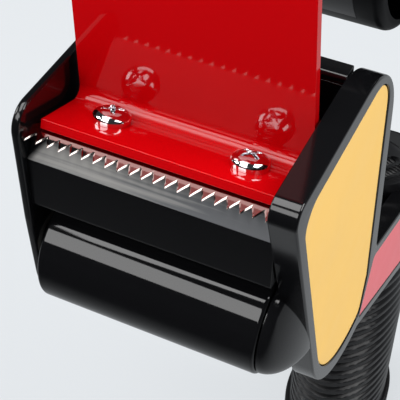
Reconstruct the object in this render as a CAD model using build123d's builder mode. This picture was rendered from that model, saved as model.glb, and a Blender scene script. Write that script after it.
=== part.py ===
"""Pistol-grip dispenser for 2-inch packing tape on 3-inch cores.

Millimetres, +Z up, -Y towards the nose, +X towards the side that carries the frame.
The origin is the centre of the hub that the tape roll turns on. Heights and distances
of the head, the arm and the grip are measured from the cutting line of the blade.
"""
import math
import os

from build123d import *

# Core that the hub takes
CORE_BORE = 76.2
CORE_PLAY = 0.4

# Where the cutting line stands from the hub centre
HEAD_Y = -102.0
HEAD_Z = -17.7

# Fits
PRESS_GAP = 0.01
SEAT_GAP = 0.05
RUN_GAP = 0.06
BODY_GAP = 0.3

# Head: space between the two side walls, and their plates
HEAD_INSIDE = 52.05
INNER = 25.75
FRAME_WALL = 5.6
CHEEK_WALL = 1.8
HEAD_TOP = 10.0

# Outline of the frame, seen from the side
NOSE_Y = -6.5
NOSE_LEAN = 0.313
NOSE_CORNER = 3.5
HEAD_REAR_Y = 49.4
HEAD_REAR_LEAN = 0.125
HEAD_REAR_CORNER = 24.0
LEAF_BASE_Z = -83.7
LEAF_ROUND = 36.5

# Panel let into the frame's cheek
RIM_TOP = 3.4
RIM_FRONT = 3.3
RIM_REAR = 4.0
RIM_HEEL = 5.4
PANEL_HEEL_Z = -66.0
PANEL_BELLY_Y = 51.2
PANEL_BASE_Z = -78.4
PANEL_ROUND = 31.0
PANEL_DEPTH = 1.5
PANEL_THICK = 1.2
PANEL_GAP = 0.15

# Arm from the head to the grip, and the strip let into it
ARM_TOP_Z = -60.4
ARM_TOP_Y = 57.9
ARM_TOP_SLOPE = -0.39
ARM_LOW_Z = -84.0
ARM_LOW_Y = 51.0
ARM_LOW_SLOPE = -0.51
STRIP_DEPTH = 0.8
STRIP_THICK = 0.6
STRIP_BORDER = 3.3
STRIP_HEEL_Y = 57.5
STRIP_TOE_Y = 51.5
STRIP_END_Y = 100.0

# Grip
GRIP_X = 14.7
GRIP_WIDTH = 32.6
GRIP_DEPTH = 50.0
GRIP_Y = 109.0
GRIP_TOP_Z = -50.0
GRIP_END_Z = -203.0
RIB_PITCH = 4.4
RIB_GROOVE = 1.5
RIB_DEPTH = 1.7
RIB_END_MARGIN = 12.0
REST_MARGIN = 6.5
REST_ROUND = 2.5
REST_PEG = 3.0
REST_PEG_LONG = 10.0
TANG_WIDTH = 10.0
TANG_DEPTH = 20.0
TANG_CORNER = 1.5
BUTT_CAP = 9.0
BUTT_LIP = 1.6
BUTT_HEAD = 4.0
BUTT_HEAD_HIGH = 2.5
BUTT_SCREW = 2.5
BUTT_SCREW_LONG = 14.0

# Crosspiece under the blade
DECK_ANGLE = 19.3
DECK_LENGTH = 15.4
DECK_SETBACK = 0.5
NOSE_FACE_Y = -0.4
NOSE_FACE_Z = -4.2
NOSE_FOOT_Y = -0.9
NOSE_FOOT_Z = -16.8

# Blade
BEND_Y = 2.75
BEND_Z = 1.6
BLADE_THICK = 0.6
BLADE_SEAT = 12.0
BLADE_RIGHT = 25.2
TOOTH_PITCH = 2.5
TOOTH_LONG = 2.6
FIRST_TOOTH = -26.05

# Flap
FLAP_THICK = 2.0
FLAP_LEFT = -24.6
FLAP_RIGHT = 25.4
FLAP_RIGHT_TOP = 22.9
FLAP_FACE_Y = 17.9
FLAP_TOP_Z = 50.0
FLAP_CORNER = 8.0
FLAP_BEND = 2.2

# Pan-head screws
SCREW_HEAD = 3.5
SCREW_HEAD_HIGH = 2.4
SCREW_SHANK = 1.6
SCREW_LONG = 8.0
SCREW_SUNK = 2.4
RECESS_WIDTH = 1.1
RECESS_DEEP = 1.4
FLAP_SCREW_MID = 0.65
FLAP_SCREW_X = 14.65
FLAP_SCREW_BACK = 8.8
TIE_SCREWS = ((9.0, -9.5), (35.3, 2.0), (35.3, -22.0))

# Left cheek
CHEEK_FRONT_Y = -2.1
CHEEK_TOP = 7.9
CHEEK_CORNER = 5.5
CHEEK_INSET = 2.0
CHEEK_BACK = 15.0
CHEEK_HEEL = (-50.0, 16.0)
CHEEK_CHIN = (31.0, -66.0, 14.0)
CHEEK_KNEE = (7.0, -57.0, 10.0)
CHEEK_LIP = (-1.1, -40.0, 12.0)
CHEEK_BROW = (-20.0, 12.0)
CHEEK_BOSS = 6.0
CHEEK_EDGE = 0.5

# Rear wall of the head
WALL_Y = 33.0
WALL_THICK = 4.6
WALL_FOOT_Z = -30.0
WALL_GROOVE = 0.8

# Applicator roller
ROLLER_AXIS = (7.0, -33.8)
ROLLER_LEFT = -24.6
ROLLER_RADIUS = 12.5
ROLLER_SKIN = 2.5
AXLE_RADIUS = 3.0
AXLE_SOCKET = 3.2
AXLE_END = 2.4
BUSH_RADIUS = 5.0
BUSH_LONG = 7.0
BUSH_FLANGE = 6.5
BUSH_FLANGE_THICK = 1.0
CLIP_WIDTH = 2.0
CLIP_THICK = 0.8
CLIP_GROOVE = 0.5
BOSS_RADIUS = 12.0
BOSS_REACH = 0.6
BOSS_TIP = (12.2, -44.0)
BOSS_TIP_RADIUS = 1.5
BOSS_SECTIONS = 6

# Ribbed guide roller
GUIDE_AXIS = (26.0, -23.0)
GUIDE_RADIUS = 6.2
GUIDE_GROOVE = 1.0
GUIDE_RINGS = 9
GUIDE_AXLE = 2.0

# Hub
HUB_LEFT = -24.4
HUB_RIGHT = 21.8
HUB_SKIN = 3.2
HUB_BARREL = 11.0
HUB_WEB = 3.5
HUB_WEB_LEFT = -8.0
HUB_RIBS = 6
HUB_RIB_THICK = 2.0
HUB_RIB_SHORT = 4.0
HUB_WINDOW = 7.0
HUB_ROUND = 2.5
HUB_BOLT = 4.0
BOLT_HEAD = 7.5
BOLT_HEAD_HIGH = 4.0
BOLT_LEFT = -25.0
FRAME_BOSS_RADIUS = 16.0
HUB_ARM_FRONT = 107.0
HUB_ARM_BACK = 124.0
HUB_ARM_RADIUS = 21.0

# Spring leaves on the hub
LEAF_COUNT = 3
LEAF_LEFT = -19.0
LEAF_LONG = 34.0
LEAF_WIDTH = 12.0
LEAF_THICK = 0.6
LEAF_SUNK = 0.6

# Hub brake
WASHER_RADIUS = 14.0
WASHER_THICK = 1.2
SPRING_WIRE = 1.0
SPRING_RADIUS = 7.0
SPRING_COILS = 5
STEEL_WASHER = 9.5
STEEL_WASHER_THICK = 1.2
KNOB_LEFT = -26.4
KNOB_THICK = 8.0
KNOB_RADIUS = 11.5
KNOB_LOBES = 6
KNOB_LOBE = 3.6

FRAME_OUT = INNER + FRAME_WALL
PANEL_FLOOR = FRAME_OUT - PANEL_DEPTH
CHEEK_IN = INNER - HEAD_INSIDE
CHEEK_OUT = CHEEK_IN - CHEEK_WALL
HEAD_MID = (INNER + CHEEK_IN) / 2
BETWEEN = HEAD_INSIDE - 2 * SEAT_GAP
HUB_RADIUS = CORE_BORE / 2 - CORE_PLAY
HUB_IN_HEAD_Y = -HEAD_Y
HUB_IN_HEAD_Z = -HEAD_Z
GRIP_FRONT = GRIP_Y - GRIP_DEPTH / 2
GRIP_BACK = GRIP_Y + GRIP_DEPTH / 2
GRIP_LEFT = GRIP_X - GRIP_WIDTH / 2
SLEEVE_END_Z = GRIP_END_Z + BUTT_CAP + SEAT_GAP
TANG_END_Z = SLEEVE_END_Z + BODY_GAP
BOSS_FACE = INNER - BOSS_REACH
ROLLER_RIGHT = BOSS_FACE - BODY_GAP
WASHER_LEFT = HUB_RIGHT + BODY_GAP
HUB_FACE = WASHER_LEFT + WASHER_THICK + SEAT_GAP
KNOB_RIGHT = KNOB_LEFT + KNOB_THICK
DECK_RUN = (math.cos(math.radians(DECK_ANGLE)), -math.sin(math.radians(DECK_ANGLE)))
DECK_UP = (math.sin(math.radians(DECK_ANGLE)), math.cos(math.radians(DECK_ANGLE)))
DECK_LOW = -BLADE_THICK - SEAT_GAP
SPRING_START = KNOB_RIGHT + BODY_GAP + STEEL_WASHER_THICK + SEAT_GAP
SPRING_END = HUB_WEB_LEFT - BODY_GAP - STEEL_WASHER_THICK - SEAT_GAP


def side_plane(x):
    """Plane across X whose own axes are back and up, measured from the cutting line."""
    return Plane(origin=(x, HEAD_Y, HEAD_Z), x_dir=(0, 1, 0), z_dir=(1, 0, 0))


def hub_plane(x):
    """Plane across X whose own axes are back and up, measured from the hub centre."""
    return Plane(origin=(x, 0, 0), x_dir=(0, 1, 0), z_dir=(1, 0, 0))


def grip_plane(z):
    """Level plane at a height, centred on the grip."""
    return Plane.XY.offset(HEAD_Z + z).shift_origin((GRIP_X, HEAD_Y + GRIP_Y, HEAD_Z + z))


def nose_line(z):
    """Distance back of the frame's front wall at a height."""
    return NOSE_Y + NOSE_LEAN * (HEAD_TOP - z)


def rear_line(z):
    """Distance back of the head's rear edge at a height."""
    return HEAD_REAR_Y + HEAD_REAR_LEAN * (HEAD_TOP - z)


def arm_top(y):
    """Height of the arm's upper edge."""
    return ARM_TOP_Z + ARM_TOP_SLOPE * (y - ARM_TOP_Y)


def arm_low(y):
    """Height of the arm's lower edge."""
    return ARM_LOW_Z + ARM_LOW_SLOPE * (y - ARM_LOW_Y)


def on_deck(run, rise):
    """Point of the side view, measured back along the sloping deck and up from the blade's top."""
    return (
        BEND_Y + run * DECK_RUN[0] + rise * DECK_UP[0],
        BEND_Z + run * DECK_RUN[1] + rise * DECK_UP[1],
    )


def deck_plane(run, rise, x=0.0):
    """Plane on the sloping deck, with its X along the blade and its Y back along the slope."""
    back, up = on_deck(run, rise)
    return Plane(
        origin=(x, HEAD_Y + back, HEAD_Z + up),
        x_dir=(1, 0, 0),
        z_dir=(0, DECK_UP[0], DECK_UP[1]),
    )


def outline(plane, corners):
    """Closed outline on a plane from corners of (back, up, radius)."""
    with BuildSketch(plane) as sketch:
        with BuildLine():
            FilletPolyline(
                *[(back, up) for back, up, _ in corners],
                radius=[radius for _, _, radius in corners],
                close=True,
            )
        make_face()
    return sketch.sketch


def disc(plane, at, radius, bore=0.0):
    """Round face on a plane, with an optional round hole."""
    with BuildSketch(plane) as sketch:
        with Locations(at):
            Circle(radius)
            if bore:
                Circle(bore, mode=Mode.SUBTRACT)
    return sketch.sketch


def grip_oval(z, grow=0.0, shift=0.0):
    """Oval section of the grip at a height, grown all round and moved back."""
    with BuildSketch(grip_plane(z)) as sketch:
        with Locations((0, shift)):
            Ellipse(GRIP_WIDTH / 2 + grow, GRIP_DEPTH / 2 + grow)
    return sketch.sketch


def grip_disc(z, radius):
    """Round face on the grip's centre line at a height."""
    with BuildSketch(grip_plane(z)) as sketch:
        Circle(radius)
    return sketch.sketch


def finger_groove(z, height):
    """Crescent ring that is deepest at the front of the grip and runs out at its sides."""
    with BuildPart() as groove:
        extrude(grip_oval(z, grow=RIB_DEPTH), amount=height)
        extrude(grip_oval(z, shift=RIB_DEPTH), amount=height, mode=Mode.SUBTRACT)
        extrude(grip_band(GRIP_Y, GRIP_BACK + 5.0, z - 1.0, z + height + 1.0),
                amount=GRIP_WIDTH + 4.0, mode=Mode.SUBTRACT)
    return groove.part


def grip_band(front, back, low, high):
    """Upright rectangle of the side view, just left of the grip."""
    with BuildSketch(side_plane(GRIP_LEFT - 2.0)) as sketch:
        with Locations(((front + back) / 2, (low + high) / 2)):
            Rectangle(back - front, high - low)
    return sketch.sketch


def sloped_band(top_at, low_at):
    """Band of the side view across the grip, between two edge lines."""
    front = GRIP_FRONT - 3.0
    back = GRIP_BACK + 3.0
    with BuildSketch(side_plane(GRIP_LEFT - 2.0)) as sketch:
        with BuildLine():
            Polyline(
                (front, low_at(front)),
                (back, low_at(back)),
                (back, top_at(back)),
                (front, top_at(front)),
                close=True,
            )
        make_face()
    return sketch.sketch


def frame_corners():
    """Corners of the side frame's outline, from the nose round by the hub to the leaf tip."""
    hub_front = HUB_IN_HEAD_Y - HUB_ARM_RADIUS
    hub_back = HUB_IN_HEAD_Y + HUB_ARM_RADIUS
    hub_low = HUB_IN_HEAD_Z - HUB_ARM_RADIUS
    hub_top = HUB_IN_HEAD_Z + HUB_ARM_RADIUS
    join = ARM_LOW_Y + (LEAF_BASE_Z - ARM_LOW_Z) / ARM_LOW_SLOPE
    notch = rear_line(ARM_TOP_Z)
    return (
        (nose_line(HEAD_TOP), HEAD_TOP, NOSE_CORNER),
        (rear_line(HEAD_TOP), HEAD_TOP, HEAD_REAR_CORNER),
        (notch, arm_top(notch), 3.0),
        (HUB_ARM_FRONT, arm_top(HUB_ARM_FRONT), 0.0),
        (HUB_ARM_FRONT, GRIP_TOP_Z + 8.0, 10.0),
        (hub_front, hub_low + 6.0, 12.0),
        (hub_front, hub_top, HUB_ARM_RADIUS - 0.1),
        (hub_back, hub_top, HUB_ARM_RADIUS - 0.1),
        (hub_back, hub_low, 12.0),
        (HUB_ARM_BACK, GRIP_TOP_Z, 12.0),
        (HUB_ARM_BACK, arm_low(HUB_ARM_BACK), 6.0),
        (join, LEAF_BASE_Z, 1.0),
        (nose_line(LEAF_BASE_Z), LEAF_BASE_Z, LEAF_ROUND),
    )


def panel_corners(gap):
    """Corners of the leaf-shaped panel, or of its recess when the gap is zero."""
    top = HEAD_TOP - RIM_TOP - gap
    base = PANEL_BASE_Z + gap
    return (
        (nose_line(top) + RIM_FRONT + gap, top, 5.0),
        (rear_line(top) - RIM_REAR - gap, top, 12.0),
        (rear_line(PANEL_HEEL_Z) - RIM_HEEL - gap, PANEL_HEEL_Z + 0.4 * gap, 7.0),
        (PANEL_BELLY_Y - 0.45 * gap, base, 3.0),
        (nose_line(base) + RIM_FRONT + gap, base, PANEL_ROUND),
    )


def strip_corners(gap):
    """Corners of the strip along the arm, or of its recess when the gap is zero."""
    heel = STRIP_HEEL_Y + gap
    toe = STRIP_TOE_Y + gap
    end = STRIP_END_Y - gap
    inset = STRIP_BORDER + gap
    return (
        (heel, arm_top(heel) - inset, 0.8),
        (end, arm_top(end) - inset, 1.0),
        (end, arm_low(end) + inset, 1.0),
        (toe, arm_low(toe) + inset, 0.8),
    )


def boss_section(share):
    """Round section of the roller's boss, from its inner face at 0 to its tip at 1."""
    width = math.cos(share * math.pi / 2)
    reach = math.sin(share * math.pi / 2)
    centre = (
        BOSS_TIP[0] + (ROLLER_AXIS[0] - BOSS_TIP[0]) * width,
        BOSS_TIP[1] + (ROLLER_AXIS[1] - BOSS_TIP[1]) * width,
    )
    radius = BOSS_TIP_RADIUS + (BOSS_RADIUS - BOSS_TIP_RADIUS) * width
    return disc(side_plane(BOSS_FACE + (FRAME_OUT - SEAT_GAP - BOSS_FACE) * reach), centre, radius)


def leaf_ring(x, turn, low, high, width):
    """Part of a ring as wide as a spring leaf, at its place round the hub."""
    with BuildSketch(hub_plane(x)) as sketch:
        Circle(high)
        Circle(low, mode=Mode.SUBTRACT)
        Rectangle(width, high + 1.0, rotation=turn * 360 / LEAF_COUNT,
                  align=(Align.CENTER, Align.MIN), mode=Mode.INTERSECT)
    return sketch.sketch


def cheek_screw_plane(at):
    """Plane on the outside of the left cheek, facing away from it."""
    return Plane(
        origin=(CHEEK_OUT - SEAT_GAP, HEAD_Y + at[0], HEAD_Z + at[1]),
        x_dir=(0, -1, 0),
        z_dir=(-1, 0, 0),
    )


def pan_screw(plane, length):
    """Pan-head screw with a cross recess, its head standing on the plane."""
    with BuildPart() as screw:
        with BuildSketch(plane):
            Circle(SCREW_HEAD)
        extrude(amount=SCREW_HEAD_HIGH)
        crown = screw.faces().sort_by(Axis(plane.origin, plane.z_dir))[-1]
        fillet(crown.edges(), SCREW_HEAD_HIGH * 0.7)
        with BuildSketch(plane.offset(SCREW_HEAD_HIGH)):
            Rectangle(SCREW_HEAD, RECESS_WIDTH)
            Rectangle(RECESS_WIDTH, SCREW_HEAD)
        extrude(amount=-RECESS_DEEP, mode=Mode.SUBTRACT)
        with BuildSketch(plane):
            Circle(SCREW_SHANK)
        extrude(amount=-length)
    return screw.part


def bar_on_hub(x_from, x_to, radius):
    """Ring that slides on the hub bolt."""
    with BuildPart() as ring:
        extrude(disc(hub_plane(x_from), (0, 0), radius, HUB_BOLT + RUN_GAP), amount=x_to - x_from)
    return ring.part


def save(piece, name):
    """Label a finished piece and write its STEP file."""
    piece.label = name
    export_step(piece, f"parts/{name}.step")


os.makedirs("parts", exist_ok=True)

# Collar of the frame that fills the grip's oval between the arm's two edges
with BuildPart() as collar:
    extrude(grip_oval(arm_low(GRIP_BACK) - 5.0), amount=arm_top(GRIP_FRONT) - arm_low(GRIP_BACK) + 10.0)
    extrude(sloped_band(arm_top, arm_low), amount=GRIP_WIDTH + 4.0, mode=Mode.INTERSECT)

# Boss that carries the right end of the roller's axle and runs out in the frame's front wall
with BuildPart() as roller_boss:
    loft([boss_section(index / (BOSS_SECTIONS - 1)).face() for index in range(BOSS_SECTIONS)])

# Side frame: cheek, arm, collar, tang and hub arm in one moulding
with BuildPart() as side_frame:
    extrude(outline(side_plane(INNER), frame_corners()), amount=FRAME_WALL)
    add(collar.part)
    add(roller_boss.part)
    with BuildSketch(grip_plane(TANG_END_Z)):
        RectangleRounded(TANG_WIDTH, TANG_DEPTH, TANG_CORNER)
    extrude(amount=arm_low(GRIP_Y - TANG_DEPTH / 2) + 8.0 - TANG_END_Z)
    extrude(disc(hub_plane(HUB_FACE), (0, 0), FRAME_BOSS_RADIUS), amount=INNER - HUB_FACE + 1.0)
    extrude(outline(side_plane(PANEL_FLOOR), panel_corners(0.0)), amount=PANEL_DEPTH, mode=Mode.SUBTRACT)
    extrude(outline(side_plane(FRAME_OUT - STRIP_DEPTH), strip_corners(0.0)),
            amount=STRIP_DEPTH, mode=Mode.SUBTRACT)
    extrude(disc(hub_plane(HUB_FACE), (0, 0), HUB_BOLT + SEAT_GAP),
            amount=FRAME_OUT - HUB_FACE, mode=Mode.SUBTRACT)
    extrude(disc(side_plane(BOSS_FACE), ROLLER_AXIS, AXLE_RADIUS + SEAT_GAP),
            amount=BOSS_REACH + AXLE_SOCKET, mode=Mode.SUBTRACT)
    extrude(disc(side_plane(INNER), GUIDE_AXIS, GUIDE_AXLE + SEAT_GAP),
            amount=AXLE_SOCKET, mode=Mode.SUBTRACT)
    for at in TIE_SCREWS:
        extrude(disc(side_plane(INNER), at, SCREW_SHANK + SEAT_GAP), amount=FRAME_WALL, mode=Mode.SUBTRACT)
        extrude(disc(side_plane(PANEL_FLOOR - SCREW_SUNK), at, SCREW_HEAD + SEAT_GAP),
                amount=SCREW_SUNK, mode=Mode.SUBTRACT)
    extrude(grip_disc(TANG_END_Z, BUTT_SCREW + SEAT_GAP), amount=BUTT_SCREW_LONG, mode=Mode.SUBTRACT)
    extrude(grip_disc(arm_top(GRIP_Y) - REST_PEG_LONG - BODY_GAP, REST_PEG + SEAT_GAP),
            amount=REST_PEG_LONG + 20.0, mode=Mode.SUBTRACT)
save(side_frame.part, "side_frame")

# Leaf-shaped panel let into the cheek of the frame
with BuildPart() as side_panel:
    extrude(outline(side_plane(PANEL_FLOOR), panel_corners(PANEL_GAP)), amount=PANEL_THICK)
    fillet(side_panel.faces().sort_by(Axis.X)[-1].edges(), 0.3)
save(side_panel.part, "side_panel")

# Bare strip let into the arm
with BuildPart() as arm_strip:
    extrude(outline(side_plane(FRAME_OUT - STRIP_DEPTH), strip_corners(PANEL_GAP)), amount=STRIP_THICK)
save(arm_strip.part, "arm_strip")

# Thin plate that closes the head on the side that the roll goes on
with BuildPart() as left_cheek:
    extrude(outline(side_plane(CHEEK_OUT), (
        (CHEEK_FRONT_Y, CHEEK_TOP, CHEEK_CORNER),
        (rear_line(CHEEK_TOP) - CHEEK_INSET, CHEEK_TOP, CHEEK_BACK),
        (rear_line(CHEEK_HEEL[0]) - CHEEK_INSET, *CHEEK_HEEL),
        CHEEK_CHIN,
        CHEEK_KNEE,
        CHEEK_LIP,
        (CHEEK_FRONT_Y, *CHEEK_BROW),
    )), amount=CHEEK_WALL)
    fillet(left_cheek.faces().sort_by(Axis.X)[0].edges(), CHEEK_EDGE)
    extrude(disc(side_plane(CHEEK_IN), ROLLER_AXIS, CHEEK_BOSS),
            amount=ROLLER_LEFT - BODY_GAP - CHEEK_IN)
    for at in TIE_SCREWS:
        extrude(disc(side_plane(CHEEK_OUT), at, SCREW_SHANK + SEAT_GAP),
                amount=CHEEK_WALL, mode=Mode.SUBTRACT)
    extrude(disc(side_plane(CHEEK_OUT), ROLLER_AXIS, AXLE_RADIUS + SEAT_GAP),
            amount=ROLLER_LEFT - CHEEK_OUT, mode=Mode.SUBTRACT)
    extrude(disc(side_plane(CHEEK_OUT), GUIDE_AXIS, GUIDE_AXLE + SEAT_GAP),
            amount=CHEEK_WALL, mode=Mode.SUBTRACT)
save(left_cheek.part, "left_cheek")

# Crosspiece: sloping deck, bevel under the teeth and upright face down to the roller
with BuildPart() as crosspiece:
    deck_back = on_deck(DECK_LENGTH, DECK_LOW)
    extrude(outline(side_plane(CHEEK_IN + SEAT_GAP), (
        (*on_deck(DECK_SETBACK, DECK_LOW), 0.2),
        (*deck_back, 1.0),
        (deck_back[0] - 1.2, NOSE_FOOT_Z, 1.5),
        (NOSE_FOOT_Y, NOSE_FOOT_Z, 1.0),
        (NOSE_FACE_Y, NOSE_FACE_Z, 0.6),
    )), amount=BETWEEN)
    with BuildSketch(deck_plane(BLADE_SEAT + SEAT_GAP, DECK_LOW, HEAD_MID)):
        Rectangle(BETWEEN, DECK_LENGTH - BLADE_SEAT - 1.2, align=(Align.CENTER, Align.MIN))
    extrude(amount=-DECK_LOW)
    with BuildSketch(deck_plane(FLAP_SCREW_BACK, 0.0, FLAP_SCREW_MID)):
        with GridLocations(2 * FLAP_SCREW_X, 0, 2, 1):
            Circle(SCREW_SHANK + SEAT_GAP)
    extrude(amount=-SCREW_LONG, mode=Mode.SUBTRACT)
    for start in (CHEEK_IN, INNER - SCREW_LONG):
        extrude(disc(side_plane(start), TIE_SCREWS[0], SCREW_SHANK + SEAT_GAP),
                amount=SCREW_LONG, mode=Mode.SUBTRACT)
save(crosspiece.part, "crosspiece")

# Toothed blade: flat seat on the deck and a lip bent down that carries the teeth
with BuildPart() as cutting_blade:
    with BuildSketch(deck_plane(0.0, 0.0, CHEEK_IN + SEAT_GAP)):
        Rectangle(BLADE_RIGHT - CHEEK_IN - SEAT_GAP, BLADE_SEAT, align=(Align.MIN, Align.MIN))
    extrude(amount=-BLADE_THICK)
    with BuildSketch(deck_plane(FLAP_SCREW_BACK, 0.0, FLAP_SCREW_MID)):
        with GridLocations(2 * FLAP_SCREW_X, 0, 2, 1):
            Circle(SCREW_SHANK + SEAT_GAP)
    extrude(amount=-BLADE_THICK, mode=Mode.SUBTRACT)
    lip_long = math.hypot(BEND_Y, BEND_Z)
    lip = Plane(
        origin=(0, HEAD_Y, HEAD_Z),
        x_dir=(1, 0, 0),
        z_dir=(0, -BEND_Z / lip_long, BEND_Y / lip_long),
    )
    teeth = [(CHEEK_IN + SEAT_GAP, lip_long), (CHEEK_IN + SEAT_GAP, 0.25)]
    for tooth in range(math.floor((BLADE_RIGHT - FIRST_TOOTH) / TOOTH_PITCH) + 1):
        tip = FIRST_TOOTH + tooth * TOOTH_PITCH
        teeth.append((tip, 0.0))
        teeth.append((tip + TOOTH_PITCH / 2, TOOTH_LONG))
    teeth[-1] = (BLADE_RIGHT, TOOTH_LONG)
    with BuildSketch(lip):
        with BuildLine():
            Polyline(*teeth, (BLADE_RIGHT, lip_long), close=True)
        make_face()
    extrude(amount=-BLADE_THICK)
    with BuildSketch(side_plane(CHEEK_IN + SEAT_GAP)):
        with BuildLine():
            Polyline(
                (BEND_Y, BEND_Z),
                (BEND_Y + BLADE_THICK * BEND_Z / lip_long, BEND_Z - BLADE_THICK * BEND_Y / lip_long),
                on_deck(0.0, -BLADE_THICK),
                close=True,
            )
        make_face()
    extrude(amount=BLADE_RIGHT - CHEEK_IN - SEAT_GAP)
save(cutting_blade.part, "cutting_blade")

# Flap: flange screwed down over the blade, bend, and upright that wipes the tape down
with BuildPart() as tape_flap:
    flange_front = on_deck(0.1, SEAT_GAP)
    flange_top = on_deck(0.1, SEAT_GAP + FLAP_THICK)
    flap_back = FLAP_FACE_Y + FLAP_THICK
    slope = math.tan(math.radians(DECK_ANGLE))
    extrude(outline(side_plane(FLAP_LEFT), (
        (*flange_front, 0.2),
        (*flange_top, 0.4),
        (FLAP_FACE_Y, flange_top[1] - (FLAP_FACE_Y - flange_top[0]) * slope, FLAP_BEND),
        (FLAP_FACE_Y, FLAP_TOP_Z, 0.3),
        (flap_back, FLAP_TOP_Z, 0.3),
        (flap_back, flange_front[1] - (flap_back - flange_front[0]) * slope, FLAP_BEND + FLAP_THICK),
    )), amount=FLAP_RIGHT - FLAP_LEFT)
    with BuildSketch(Plane(origin=(0, HEAD_Y + GRIP_BACK, HEAD_Z), x_dir=(1, 0, 0), z_dir=(0, -1, 0))):
        with BuildLine():
            FilletPolyline(
                (FLAP_RIGHT, -20.0),
                (FLAP_RIGHT, HEAD_TOP - 3.0),
                (FLAP_RIGHT_TOP, FLAP_TOP_Z),
                (FLAP_LEFT, FLAP_TOP_Z),
                (FLAP_LEFT, -20.0),
                radius=[0.0, 10.0, FLAP_CORNER, FLAP_CORNER, 0.0],
                close=True,
            )
        make_face()
    extrude(amount=GRIP_BACK + 10.0, mode=Mode.INTERSECT)
    with BuildSketch(deck_plane(FLAP_SCREW_BACK, 0.0, FLAP_SCREW_MID)):
        with GridLocations(2 * FLAP_SCREW_X, 0, 2, 1):
            Circle(SCREW_SHANK + SEAT_GAP)
    extrude(amount=FLAP_THICK + 1.0, mode=Mode.SUBTRACT)
save(tape_flap.part, "tape_flap")

# Screws that hold the flap and the blade to the deck
with BuildPart() as flap_screws:
    for side in (-1, 1):
        seat = deck_plane(FLAP_SCREW_BACK, FLAP_THICK + 2 * SEAT_GAP, FLAP_SCREW_MID + side * FLAP_SCREW_X)
        add(pan_screw(seat, SCREW_LONG))
save(flap_screws.part, "flap_screws")

# Rear wall of the head, with a fine line along its inner face
with BuildPart() as rear_wall:
    extrude(outline(side_plane(CHEEK_IN + SEAT_GAP), (
        (WALL_Y, HEAD_TOP - 0.4, 0.8),
        (WALL_Y + WALL_THICK, HEAD_TOP - 0.4, 0.8),
        (WALL_Y + WALL_THICK, WALL_FOOT_Z, 1.8),
        (WALL_Y, WALL_FOOT_Z, 1.8),
    )), amount=BETWEEN)
    with BuildSketch(side_plane(CHEEK_IN)):
        with Locations((WALL_Y, HEAD_TOP - 2.2)):
            Rectangle(WALL_GROOVE, WALL_GROOVE)
    extrude(amount=HEAD_INSIDE, mode=Mode.SUBTRACT)
    for at in TIE_SCREWS[1:]:
        for start in (CHEEK_IN, INNER - SCREW_LONG):
            extrude(disc(side_plane(start), at, SCREW_SHANK + SEAT_GAP),
                    amount=SCREW_LONG, mode=Mode.SUBTRACT)
save(rear_wall.part, "rear_wall")

# Screws through the left cheek
with BuildPart() as cheek_screws:
    for at in TIE_SCREWS:
        add(pan_screw(cheek_screw_plane(at), SCREW_LONG))
save(cheek_screws.part, "cheek_screws")

# Screws from the frame's side, sunk under the panel
with BuildPart() as frame_screws:
    for at in TIE_SCREWS:
        sunk = PANEL_FLOOR - SCREW_SUNK + SEAT_GAP
        extrude(disc(side_plane(sunk), at, SCREW_HEAD), amount=SCREW_SUNK - SEAT_GAP)
        extrude(disc(side_plane(sunk - SCREW_LONG), at, SCREW_SHANK), amount=SCREW_LONG)
save(frame_screws.part, "frame_screws")

# Applicator roller: smooth skin on a core, turning on two flanged bushes
with BuildPart() as roller_skin:
    bore = ROLLER_RADIUS - ROLLER_SKIN + PRESS_GAP
    extrude(disc(side_plane(ROLLER_LEFT), ROLLER_AXIS, ROLLER_RADIUS, bore),
            amount=ROLLER_RIGHT - ROLLER_LEFT)
    fillet(roller_skin.edges().filter_by(GeomType.CIRCLE).group_by(SortBy.RADIUS)[-1], 0.4)
save(roller_skin.part, "roller_skin")

with BuildPart() as roller_core:
    extrude(disc(side_plane(ROLLER_LEFT), ROLLER_AXIS, ROLLER_RADIUS - ROLLER_SKIN, BUSH_RADIUS + PRESS_GAP),
            amount=ROLLER_RIGHT - ROLLER_LEFT)
    for start in (ROLLER_LEFT, ROLLER_RIGHT - BUSH_FLANGE_THICK - SEAT_GAP):
        extrude(disc(side_plane(start), ROLLER_AXIS, BUSH_FLANGE + SEAT_GAP),
                amount=BUSH_FLANGE_THICK + SEAT_GAP, mode=Mode.SUBTRACT)
save(roller_core.part, "roller_core")

with BuildPart() as roller_bushes:
    for outer, inward in ((ROLLER_LEFT, 1), (ROLLER_RIGHT, -1)):
        bore = AXLE_RADIUS + RUN_GAP
        extrude(disc(side_plane(outer), ROLLER_AXIS, BUSH_FLANGE, bore), amount=inward * BUSH_FLANGE_THICK)
        extrude(disc(side_plane(outer), ROLLER_AXIS, BUSH_RADIUS, bore), amount=inward * BUSH_LONG)
save(roller_bushes.part, "roller_bushes")

with BuildPart() as roller_axle:
    extrude(disc(side_plane(CHEEK_OUT - AXLE_END), ROLLER_AXIS, AXLE_RADIUS),
            amount=INNER + AXLE_SOCKET - SEAT_GAP - CHEEK_OUT + AXLE_END)
    extrude(disc(side_plane(CHEEK_OUT - CLIP_THICK - 2 * SEAT_GAP), ROLLER_AXIS,
                 AXLE_RADIUS + 1.0, AXLE_RADIUS - CLIP_GROOVE),
            amount=CLIP_THICK + 2 * SEAT_GAP, mode=Mode.SUBTRACT)
save(roller_axle.part, "roller_axle")

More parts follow.
